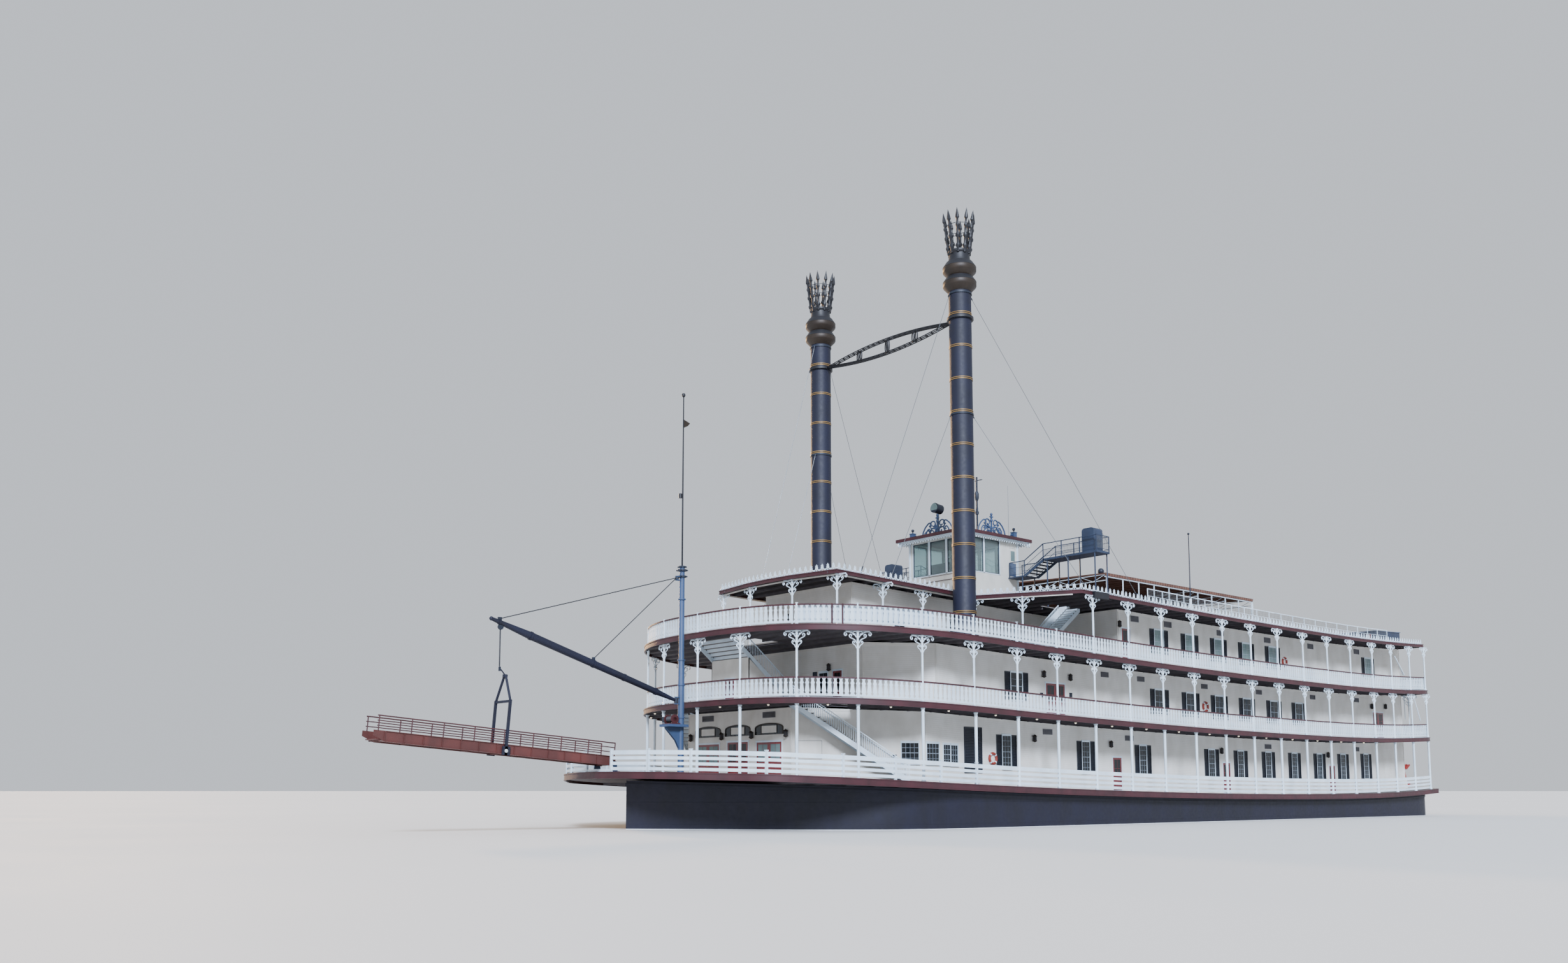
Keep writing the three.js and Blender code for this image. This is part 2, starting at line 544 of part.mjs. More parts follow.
// Bridge wings: a landing at the pilothouse door, steps up to a platform with its console
const WING = { x0: 1400, x1: 1540, landing: 1870, platform: 1962, from: 262, step: 400, inner: 560,
  outer: 992 };
function bridgeWing() {
  const { x0, x1, landing, platform, from, step, inner, outer } = WING;
  const plateYZ = (points, at, depth) => solid(new THREE.ExtrudeGeometry(shapeOf(points),
    { depth, bevelEnabled: false }).rotateX(Math.PI / 2).rotateZ(Math.PI / 2).translate(at, 0, 0));
  const riser = (platform - landing) / 4;
  const treads = [0, 1, 2, 3].flatMap((k) => [[inner - 40 * k, platform - riser * k],
    [inner - 40 * k, platform - riser * (k + 1)]]);
  const floorPlate = plateYZ([[from, landing - 8], [step + 60, landing - 8], [inner + 20, platform - 12],
    [outer, platform - 12], [outer, platform], ...treads, [from, landing]], x0, x1 - x0);
  const panels = [x0, x1 - 4].map((x) => plateYZ([[from + 4, landing - 2], [step, landing - 2],
    [inner, platform - 2], [outer, platform - 2], [outer, platform + 100], [inner, platform + 100],
    [step, landing + 100], [from + 4, landing + 100]], x, 4));
  const legs = [x0 + 5, x1 - 5].flatMap((x) => [step - 20, inner + 30, outer - 20].map((y) => box(
    x - 4, x + 4, y - 4, y + 4, LEVELS.roof.floor + sheer(x) + 0.6, (y > inner ? platform : landing) - 4)));
  const console = box(x0 + 20, x1 - 24, outer - 132, outer - 38, platform - 1, platform + 158);
  const end = box(x0 + 1, x1 - 1, outer - 4, outer, platform - 2, platform + 100);
  return join(floorPlate, panels, legs, console, end);
}
for (const side of ['port', 'starboard']) add(`${side}_bridge_wing`, 'steel', mirrored(bridgeWing(), side));

// Collars close round the flats of the pipe, which has as many sides as they have
const STACK_SIDES = 14;
const COLLAR_BORE = STACK.radius + GAP / Math.cos(Math.PI / STACK_SIDES);

// Stacks: flared foot, plain pipe, two beads and a crown of spears
const CROWN = { spears: 10, low: 3800, inner: 66, outer: 102 };
function stack(hand) {
  const { x, y, radius, tip } = STACK;
  const pipe = turned(x, hand * y, [[0, 1222], [112, 1222], [108, 1290], [radius, 1385],
    [radius, 3553], [105, 3575], [105, 3625], [84, 3648], [105, 3670], [105, 3720], [68, 3756],
    [66, 3790], [74, 3812], [0, 3812]], STACK_SIDES);
  const spears = [...Array(CROWN.spears).keys()].map((k) => {
    const angle = Math.PI * 2 * k / CROWN.spears;
    const at = (reach, z) => [x + reach * Math.cos(angle), hand * y + reach * Math.sin(angle), z];
    return rod(at(CROWN.inner, CROWN.low), at(CROWN.outer, tip), 10, 4, 3);
  });
  return join(pipe, spears).intersect(band(LEVELS.texas.floor + GAP, TOP_OF_ALL));
}
add('port_stack', 'navy', stack(1));
add('starboard_stack', 'navy', stack(-1));

// Spreader: a lens of two bowed chords between collars round the stacks
const SPREADER = { z: 3370, collar: 84, bow: 52, depth: 12 };
function spreader() {
  const { x, y, radius } = STACK;
  const ring = (at, half, round) => rod([x, at, SPREADER.z - half], [x, at, SPREADER.z + half], round,
    STACK_SIDES);
  const collar = (at) => cut(ring(at, 8, SPREADER.collar), ring(at, 20, COLLAR_BORE));
  const reach = y - radius - 4;
  const at = (t, sign, inset) => [t * reach,
    SPREADER.z + sign * Math.max(3, (SPREADER.bow - inset) * (1 - t * t))];
  const steps = [-1, -0.75, -0.5, -0.25, 0, 0.25, 0.5, 0.75, 1];
  const outline = [...steps.map((t) => at(t, -1, -4)), ...[...steps].reverse().map((t) => at(t, 1, -4))];
  const lens = shapeOf(outline);
  for (const [from, to] of [[-0.86, -0.53], [-0.47, -0.03], [0.03, 0.47], [0.53, 0.86]]) {
    const middle = (from + to) / 2;
    const lower = [from, middle, to].map((t) => at(t, -1, 8));
    const hole = [...lower, ...[to, middle, from].map((t) => at(t, 1, 8))];
    lens.holes.push(new THREE.Path(hole.map(([u, v]) => new THREE.Vector2(u, v)).reverse()));
  }
  const web = new THREE.ExtrudeGeometry(lens, { depth: SPREADER.depth, bevelEnabled: false });
  web.rotateX(Math.PI / 2).rotateZ(Math.PI / 2).translate(x - SPREADER.depth / 2, 0, 0);
  return join(solid(web), collar(y), collar(-y));
}

// Stays of one stack: rows of [height on the stack, X, Y and Z of the foot] on the port side
const STAYS = [
  [3530, 3150, 470, 1640],
  [3530, 1240, 1110, 1640],
  [2750, 2930, 500, 1640],
  [2750, 1700, 1060, 1630],
];
function stays() {
  const { x, y, radius } = STACK;
  const collars = [3530, 2750].map((z) => cut(rod([x, y, z - 5], [x, y, z + 5], radius + 12, STACK_SIDES),
    rod([x, y, z - 8], [x, y, z + 8], COLLAR_BORE, STACK_SIDES)));
  const wires = STAYS.map(([z, footX, footY, footZ]) => {
    const away = Math.atan2(footY - y, footX - x);
    const out = radius + 4;
    return rod([x + out * Math.cos(away), y + out * Math.sin(away), z], [footX, footY, footZ - 60], 1.6, 4);
  });
  const tie = rod([x - radius - 9, y, 2750], [x - radius - 9, y, 3530], 1.6, 4);
  return join(collars, wires, tie).intersect(band(LEVELS.roof.floor + GAP, TOP_OF_ALL));
}
add('stack_rigging', 'navy', join(spreader(), stays(), stays().mirror([0, 1, 0])));

// Jackmast: pedestal and winch table, lower mast with the boom's fittings, and the jackstaff
function jackmast() {
  const { x, radius, table, head, truck } = MAST;
  const { axisX, heelZ, headZ } = BOOM;
  const pieces = [
    rod([x, 0, 480], [x, 0, table], 17, 12),
    box(x - 22, x + 115, -45, 45, table - 14, table),
    plateXZ([[x, table - 12], [x + 100, table - 12], [x, table - 130]], -5, 5),
    rod([x, 0, table - 1], [x, 0, 1150], 18, 12),
    rod([x, 0, 1140], [x, 0, head], radius, 12),
    turned(x, 0, [[0, head - 10], [22, head - 10], [22, head + 6], [9, head + 14], [0, head + 14]]),
    rod([x, 0, head], [x, 0, truck - 10], 5, 8, 3),
    turned(x, 0, [[0, truck - 14], [9, truck - 8], [11, truck], [9, truck + 8], [0, truck + 13]], 8),
  ];
  for (const [z, half] of [[heelZ, 15], [headZ, 7]]) {
    for (const plate of [z - half - 6, z + half + 1]) pieces.push(box(x, axisX + 8, -8, 8, plate, plate + 5));
    pieces.push(rod([axisX, 0, z - half - 3], [axisX, 0, z + half + 3], 5.5, 12));
  }
  return join(pieces).intersect(band(LEVELS.main.floor + GAP, TOP_OF_ALL));
}
add('jackmast', 'steel', jackmast());

function boomWinch() {
  const x = MAST.x + 66;
  const z = MAST.table + GAP;
  return join(box(x - 36, x + 36, -38, 38, z, z + 6), rod([x, -36, z + 28], [x, 36, z + 28], 16, 12),
    rod([x, -36, z + 28], [x, -30, z + 28], 26, 12), rod([x, 30, z + 28], [x, 36, z + 28], 26, 12),
    box(x - 12, x + 12, -36, -30, z, z + 28), box(x - 12, x + 12, 30, 36, z, z + 28));
}
add('boom_winch', 'wheelRed', boomWinch());

// Boom: tapered spar, its eye, topping lift, middle stay and hoist wire
function boom() {
  const { axisX, heelZ, tipX, tipZ, headZ } = BOOM;
  const at = (share, drop = 0) => [axisX + (tipX - axisX) * share, 0, heelZ + (tipZ - heelZ) * share - drop];
  const eye = (z, half) => cut(rod([axisX, 0, z - half], [axisX, 0, z + half], 11, 12),
    rod([axisX, 0, z - half - 4], [axisX, 0, z + half + 4], 6.2, 12));
  const apexZ = 1026;
  const hoistX = STAGE.bridleX + 2;
  const hoistShare = (hoistX - axisX) / (tipX - axisX);
  return join(eye(heelZ, 14), eye(headZ, 6),
    rod([axisX + 8.5, 0, heelZ + 1], at(0.12), 9, 8, 17), rod(at(0.119), at(0.8), 17, 8, 21),
    rod(at(0.799), at(1), 21, 8, 9),
    rod([axisX + 8.5, 0, headZ], at(0.955, -8), 2, 4), rod([axisX + 8.5, 0, headZ - 3], at(0.47, -10), 2, 4),
    rod(at(hoistShare, -2), [hoistX, 0, apexZ + 20], 2, 4),
    box(hoistX - 9, hoistX + 9, -5, 5, at(hoistShare)[2] - 34, at(hoistShare)[2] - 4),
    box(hoistX - 5, hoistX + 5, -4, 4, apexZ, apexZ + 22));
}
add('boom', 'navy', boom());

// Landing stage: two girders, deck and pipe rails, hinged at its heel; drawn level, then tilted
const tiltStage = (piece) => piece.rotate([0, -STAGE.slope, 0])
  .translate([STAGE.hingeX, 0, STAGE.hingeZ - 4]);
function landingStage() {
  const { length, halfWidth } = STAGE;
  const deck = box(-18, length, -halfWidth + 4, halfWidth - 4, -4, 2);
  const pieces = [deck, rod([0, -88, 0], [0, 88, 0], 6, 12)];
  for (const hand of [-1, 1]) {
    const y = hand * (halfWidth - 6);
    pieces.push(plateXZ([[-18, -9], [length - 60, -9], [length, 16], [length, 42], [-18, 42]], y - 6, y + 6));
    pieces.push(box(-10, length - 14, y - 2, y + 2, 110, 114));
    for (let k = 0; k < 5; k += 1) {
      const x = -8 + k * (length - 14) / 4;
      pieces.push(box(x - 2.5, x + 2.5, y - 2.5, y + 2.5, 40, 114.5));
    }
  }
  return tiltStage(join(pieces, stageBridle()));
}

// The bridle stands on both sides of the stage and meets over it, under the boom's hook
function stageBridle() {
  const x = STAGE.bridleX - STAGE.hingeX;
  const side = STAGE.halfWidth + 4;
  const [low, shoulder, apex] = [-14, 270, 398];
  const pieces = [-1, 1].flatMap((hand) => [
    box(x - 7, x + 7, hand * side - 5, hand * side + 5, low, shoulder),
    rod([x, hand * side, shoulder - 6], [x + 2, hand * 4, apex], 7, 6),
  ]);
  return [...pieces, box(x - 5, x + 5, -side, side, shoulder - 16, shoulder - 4)];
}
add('landing_stage', 'redOxide', landingStage());

// Paddle wheels: a shaft, two ringed spiders and a plank on each arm
const SPIDER = { hub: 50, ringInner: 268, ringOuter: 288, arm: 6, depth: 10, inset: 30 };
function spiderShape() {
  const { radius, arms } = WHEEL;
  const pitch = Math.PI * 2 / arms;
  const polar = (reach, angle) => new THREE.Vector2(reach * Math.cos(angle), reach * Math.sin(angle));
  const slant = (reach) => Math.asin(SPIDER.arm / reach);
  const rim = SPIDER.ringOuter / Math.cos(pitch / 2);
  const outline = [...Array(arms).keys()].flatMap((k) => [
    polar(SPIDER.ringOuter, k * pitch - slant(SPIDER.ringOuter)),
    polar(radius - 6, k * pitch - slant(radius)),
    polar(radius - 6, k * pitch + slant(radius)),
    polar(SPIDER.ringOuter, k * pitch + slant(SPIDER.ringOuter)),
    polar(rim * 0.985, (k + 0.5) * pitch)]);
  const shape = new THREE.Shape(outline);
  for (let k = 0; k < arms; k += 1) {
    const [from, to] = [k * pitch, (k + 1) * pitch];
    shape.holes.push(new THREE.Path([
      polar(SPIDER.hub, from + slant(SPIDER.hub)),
      polar(SPIDER.ringInner, from + slant(SPIDER.ringInner)),
      polar(SPIDER.ringInner, to - slant(SPIDER.ringInner)),
      polar(SPIDER.hub, to - slant(SPIDER.hub)),
    ].reverse()));
  }
  return shape;
}

function paddleWheel() {
  const { x, z, radius, width, side, arms, shaft } = WHEEL;
  const middle = side + width / 2;
  const spiders = [side + SPIDER.inset, side + width - SPIDER.inset]
    .map((y) => plateXZ(spiderShape(), y - SPIDER.depth / 2, y + SPIDER.depth / 2).translate([x, 0, z]));
  const planks = [...Array(arms).keys()].map((k) => box(radius - 78, radius, -width / 2, width / 2, 2, 10)
    .rotate([0, k * 360 / arms, 0]).translate([x, middle, z]));
  return join(rod([x, 4, z], [x, side + width + 78, z], shaft, 12), spiders, planks);
}
for (const side of ['port', 'starboard']) {
  add(`${side}_paddle_wheel`, 'wheelRed', mirrored(paddleWheel(), side));
}

// Wheel beams: three long beams from the transom that carry the wheels' bearings
function wheelBeams() {
  const { x, z, side, width, shaft } = WHEEL;
  const deckEdge = -2930 - GAP;
  const profile = new THREE.Shape();
  const points = [[deckEdge, 300], [deckEdge, 440], [x + 90, 470], [x + 60, 530], [x - 60, 530],
    [x - 70, 440], [x + 60, 420]];
  points.forEach(([px, pz], i) => (i ? profile.lineTo(px, pz) : profile.moveTo(px, pz)));
  const bore = new THREE.Path();
  bore.absarc(x, z, shaft + 0.8, 0, Math.PI * 2, true);
  profile.holes.push(bore);
  const outer = side + width + 55;
  const beams = [[-25, 25], [outer - 25, outer + 25], [-outer - 25, -outer + 25]]
    .map(([y0, y1]) => plateXZ(profile, y0, y1, 6));
  return join(beams, box(deckEdge - 16, deckEdge, -outer - 10, outer + 10, 310, 400));
}
add('wheel_beams', 'white', wheelBeams());

function rudder() {
  const { x, y, ahead, aft, low, high, thickness, stock } = RUDDER;
  const blade = prism([[x - aft, y - 3], [x - aft, y + 3], [x + 40, y + thickness / 2], [x + ahead, y + 3],
    [x + ahead, y - 3], [x + 40, y - thickness / 2]], low, high);
  return join(blade, rod([x, y, low + 20], [x, y, 190], stock, 12));
}
for (const side of ['port', 'starboard']) add(`${side}_rudder`, 'hullNavy', mirrored(rudder(), side));

// Awning: a long low-pitched roof on posts, on the open part of the hurricane roof
const AWNING = { aft: -700, front: 1180, half: 800, low: 1868, ridge: 1900, posts: 6 };
function awning() {
  const { aft, front, half, low, ridge, posts } = AWNING;
  const section = shapeOf([[-half, low], [half, low], [half, low + 10], [0, ridge + 10], [-half, low + 10]]);
  const canopy = new THREE.ExtrudeGeometry(section, { depth: front - aft, bevelEnabled: false });
  const pieces = [solid(canopy.rotateX(Math.PI / 2).rotateZ(Math.PI / 2).translate(aft, 0, 0))];
  for (let k = 0; k < posts; k += 1) {
    const x = aft + 20 + k * (front - aft - 40) / (posts - 1);
    for (const y of [-half + 12, half - 12]) {
      pieces.push(box(x - 5, x + 5, y - 5, y + 5, LEVELS.roof.floor + sheer(x) + 0.6, low + 4));
    }
  }
  return join(pieces);
}
add('awning', 'awningBrown', awning());

// Roof rails and the small house at the after end of the roof
const ROOF_RAIL = { y: 1120, front: 1180, aft: -2200, posts: 11, low: 12, high: 100 };
function roofRail(hand) {
  const { floor } = LEVELS.roof;
  const { front, aft, posts, low, high } = ROOF_RAIL;
  const y = hand * ROOF_RAIL.y;
  const panel = sheered([[aft, y - 1.5], [front, y - 1.5], [front, y + 1.5], [aft, y + 1.5]],
    floor + low, floor + high);
  const uprights = [...Array(posts).keys()].map((k) => upright([aft + k * (front - aft) / (posts - 1), y], 4,
    floor, floor + high + 3));
  return join(panel, uprights);
}
add('port_roof_rail', 'white', roofRail(1));
add('starboard_roof_rail', 'white', roofRail(-1));

const AFT_HOUSE = { aft: -2700, front: -2260, half: 1000, height: 110 };
add('aft_deckhouse', 'steel', sheered([[AFT_HOUSE.aft, -AFT_HOUSE.half], [AFT_HOUSE.front, -AFT_HOUSE.half],
  [AFT_HOUSE.front, AFT_HOUSE.half], [AFT_HOUSE.aft, AFT_HOUSE.half]],
LEVELS.roof.floor + GAP, LEVELS.roof.floor + AFT_HOUSE.height));

export default parts;
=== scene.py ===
"""Dresses a packed 1:10 sternwheel paddle boat for a studio picture.

Every size is in millimetres in the boat's own frame: X runs to the bow, Y to port and Z up, from the
flat bottom amidships. Meshes are turned to metres as they are finished.
"""

from __future__ import annotations

import logging
import math
from dataclasses import dataclass
from enum import Enum
from typing import Iterable, Sequence

import bmesh
import bpy
import numpy as np
from bmesh.types import BMEdge, BMFace, BMVert
from mathutils import Matrix, Vector

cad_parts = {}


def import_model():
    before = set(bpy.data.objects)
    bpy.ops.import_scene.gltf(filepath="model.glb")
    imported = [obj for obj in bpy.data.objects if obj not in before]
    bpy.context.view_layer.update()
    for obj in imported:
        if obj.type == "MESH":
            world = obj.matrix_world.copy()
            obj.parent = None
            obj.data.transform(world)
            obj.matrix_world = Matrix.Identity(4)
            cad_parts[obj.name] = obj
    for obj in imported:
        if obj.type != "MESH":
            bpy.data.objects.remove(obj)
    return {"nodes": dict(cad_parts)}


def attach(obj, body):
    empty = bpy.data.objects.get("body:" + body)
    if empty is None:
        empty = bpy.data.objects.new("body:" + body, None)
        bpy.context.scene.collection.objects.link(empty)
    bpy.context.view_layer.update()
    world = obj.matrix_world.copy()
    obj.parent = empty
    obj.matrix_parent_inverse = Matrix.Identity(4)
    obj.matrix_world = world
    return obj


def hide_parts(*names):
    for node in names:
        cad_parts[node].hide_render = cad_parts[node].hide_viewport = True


log = logging.getLogger("paddle_boat")

MM = 0.001
Point = Sequence[float]
Path = list[tuple[float, float]]
Span = tuple[float, float]
UPRIGHT = Matrix.Identity(4)
UPENDED = Matrix(((1, 0, 0, 0), (0, 0, 1, 0), (0, 1, 0, 0), (0, 0, 0, 1)))     # stands a flat drawing upright
SIDEWISE = Matrix(((0, 0, 1, 0), (1, 0, 0, 0), (0, 1, 0, 0), (0, 0, 0, 1)))    # draws in Y and Z, along X

WATERLINE = 210
HALF_BEAM = 1180
COLUMN_LINE = 1160
COLUMN_PITCH = 366
FIRST_COLUMN = 2562
SIDE_COLUMNS = 13
SHOULDER = 82.8                 # degrees round the bow of the column at each shoulder
STERN = -2910
BOW_CENTRE = 2640
BOW_REACH = 1365
BOW_FULLNESS = 2.7              # power of the bow's oval: 2 is an ellipse, and more is squarer
HOUSE_SIDE = 925                # outer face of the houses' side walls
HOUSE_STERN = -2825
SHEER_LOW = -915                # where every deck is lowest
SHEER_BOW = (60, 3843)          # its rise towards the bow, and over what length
SHEER_STERN = (46, 2013)


def sheer(x: float) -> float:
    """Gives the rise of every deck at a distance along the boat.

    Args:
        x: The distance ahead of amidships.

    Returns:
        The rise above the deck's level amidships.
    """
    if x > SHEER_LOW:
        rise, run = SHEER_BOW
        return rise * ((x - SHEER_LOW) / run) ** 2
    rise, run = SHEER_STERN
    return rise * ((SHEER_LOW - x) / run) ** 2.5


def colour(code: str) -> tuple[float, float, float, float]:
    """Turns an sRGB hex value to a linear colour.

    Args:
        code: The value, as #rrggbb.

    Returns:
        Its linear red, green, blue and a full alpha.
    """
    parts = [int(code[i:i + 2], 16) / 255 for i in (1, 3, 5)]
    linear = [c / 12.92 if c <= 0.04045 else ((c + 0.055) / 1.055) ** 2.4 for c in parts]
    return (*linear, 1.0)


class Pattern(Enum):
    """How a finish varies over its surface."""

    PAINT = "gloss or satin paint with faint mottling"
    # The dark line under each lap is a painted shadow.
    LAPPED = "lapped boards that follow the sheer"
    PLANKS = "planks laid fore and aft"
    RIBS = "ribs across the boat"
    PLATES = "welded plates with shallow seams"
    GLASS = "clear or tinted glass"
    GLOW = "lit glass"


@dataclass(frozen=True)
class Finish:
    """One surface: what it is made of and how it varies.

    Attributes:
        name: The finish in a maker's words.
        slot: The material slot of the record that it would belong to; not used.
        base: The main colour, as sRGB hex.
        second: The colour that it is mottled with, as sRGB hex.
        roughness: The mean roughness.
        metallic: 1 for bare metal.
        coat: The weight of a clear coat.
        pattern: How it varies.
        pitch: The pattern's spacing in millimetres.
        relief: The pattern's depth in millimetres.
        mottle: The size of the mottling in millimetres.
    """

    name: str
    slot: str
    base: str
    second: str
    roughness: float = 0.5
    metallic: float = 0.0
    coat: float = 0.0
    pattern: Pattern = Pattern.PAINT
    pitch: float = 4.0
    relief: float = 0.15
    mottle: float = 90.0


# Oil gloss on steel and timber, a little chalky where the weather reaches it
# The faint blue in this white is painted skylight; the paint itself is plain white.
WHITE = Finish("white_gloss", "white_paint", "#dcebf6", "#c7d8e5", 0.38, coat=0.25)
# The siding's boards carry a painted shadow line under each lap.
SIDING = Finish("cream_siding", "siding_paint", "#e9e7e2", "#d8d5cd", 0.55, pattern=Pattern.LAPPED,
                pitch=11.5, relief=1.6)
PANEL = Finish("cream_panel", "siding_paint", "#e2dfd8", "#d0ccc3", 0.55)
PILOT_CREAM = Finish("pale_cream_gloss", "white_paint", "#dddcd4", "#cbcac2", 0.42, coat=0.2)
OXBLOOD = Finish("oxblood_gloss", "oxblood_paint", "#431a22", "#34151b", 0.5)
DOOR_RED = Finish("door_red", "oxblood_paint", "#7d2428", "#641c20", 0.38, coat=0.35)
# The undersides' cream paint is darkened to grey-brown here: painted shade under each deck.
UNDERSIDE_PAINTED_SHADE = Finish("deck_underside", "white_paint", "#514c50", "#433f43", 0.7, pattern=Pattern.PLANKS,
                   pitch=12.0, relief=0.5)
DECKING = Finish("grey_planks", "oxblood_paint", "#7c746c", "#655e58", 0.75, pattern=Pattern.PLANKS,
                 pitch=14.0, relief=0.6)
HULL_NAVY = Finish("hull_navy", "hull_paint", "#0f0f24", "#0a0a19", 0.6,
                   pattern=Pattern.PLATES, pitch=240.0, relief=0.5)
MARK_WHITE = Finish("mark_white", "hull_paint", "#d9dbdc", "#c5c7c9", 0.5)
NAVY = Finish("stack_navy", "stack_paint", "#0c1029", "#080b1e", 0.6)
GOLD = Finish("gold_leaf_paint", "gold_paint", "#b08c52", "#947241", 0.45, metallic=0.3)
BRONZE = Finish("bronze_paint", "gold_paint", "#352b22", "#28201a", 0.5, metallic=0.3)
SOOT = Finish("crown_black", "stack_paint", "#15161d", "#0e0f14", 0.5)
SLATE = Finish("slate_satin", "blue_grey_paint", "#2c384e", "#242e41", 0.5)
STEEL = Finish("blue_grey_satin", "blue_grey_paint", "#3a4f72", "#31445f", 0.5)
DARK_STEEL = Finish("dark_fittings", "blue_grey_paint", "#2b3240", "#1f2530", 0.5, metallic=0.3)
SHUTTER = Finish("shutter_blue_black", "blue_grey_paint", "#1c222e", "#141923", 0.45)
GALVANISED = Finish("galvanised_wire", "stay_wire", "#8e9398", "#75797e", 0.4, metallic=0.9)
TARRED = Finish("tarred_wire", "stay_wire", "#3a3a3e", "#2a2a2d", 0.6, metallic=0.4)
STAGE_RED = Finish("red_oxide", "stage_paint", "#5c2c27", "#482420", 0.6)
RAIL_RED = Finish("dark_red_pipe", "stage_paint", "#451a1e", "#371418", 0.5)
WHEEL_RED = Finish("wheel_red", "wheel_paint", "#98302a", "#7d2622", 0.5)
AWNING_CLOTH = Finish("awning_brown", "canopy_fabric", "#6e4a3c", "#5b3c31", 0.75, pattern=Pattern.RIBS,
                      pitch=30.0, relief=3.0)
ROOFING = Finish("roof_canvas", "oxblood_paint", "#8a8580", "#736e6a", 0.85, mottle=160)
PANE = Finish("dark_pane", "window_glass", "#10161c", "#0b1015", 0.06, relief=0.0)
GREEN_PANE = Finish("pale_green_pane", "window_glass", "#6f8684", "#56696a", 0.08, relief=0.0)
TINTED = Finish("tinted_glass", "window_glass", "#cfe6e6", "#cfe6e6", 0.03, pattern=Pattern.GLASS)
LAMP = Finish("opal_lamp", "lamp_glass", "#fff1d8", "#fff1d8", 0.3, pattern=Pattern.GLOW)
BUOY = Finish("buoy_red", "wheel_paint", "#93392c", "#7b2f25", 0.55)
SASH_GREY = Finish("sash_grey", "white_paint", "#929da8", "#828d98", 0.5)
VENT_GREY = Finish("vent_grey", "blue_grey_paint", "#67666a", "#58575b", 0.6)


def add_node(tree: bpy.types.NodeTree, kind: str, settings: dict) -> bpy.types.Node:
    """Adds a node to a tree.

    Args:
        tree: The node tree.
        kind: The node's type.
        settings: Its attributes, and its inputs by name or number. An output socket is linked in.

    Returns:
        The node.
    """
    node = tree.nodes.new(kind)
    for key, value in settings.items():
        if isinstance(key, str) and hasattr(node, key):
            setattr(node, key, value)
        elif isinstance(value, bpy.types.NodeSocket):
            tree.links.new(value, node.inputs[key])
        else:
            node.inputs[key].default_value = value
    return node


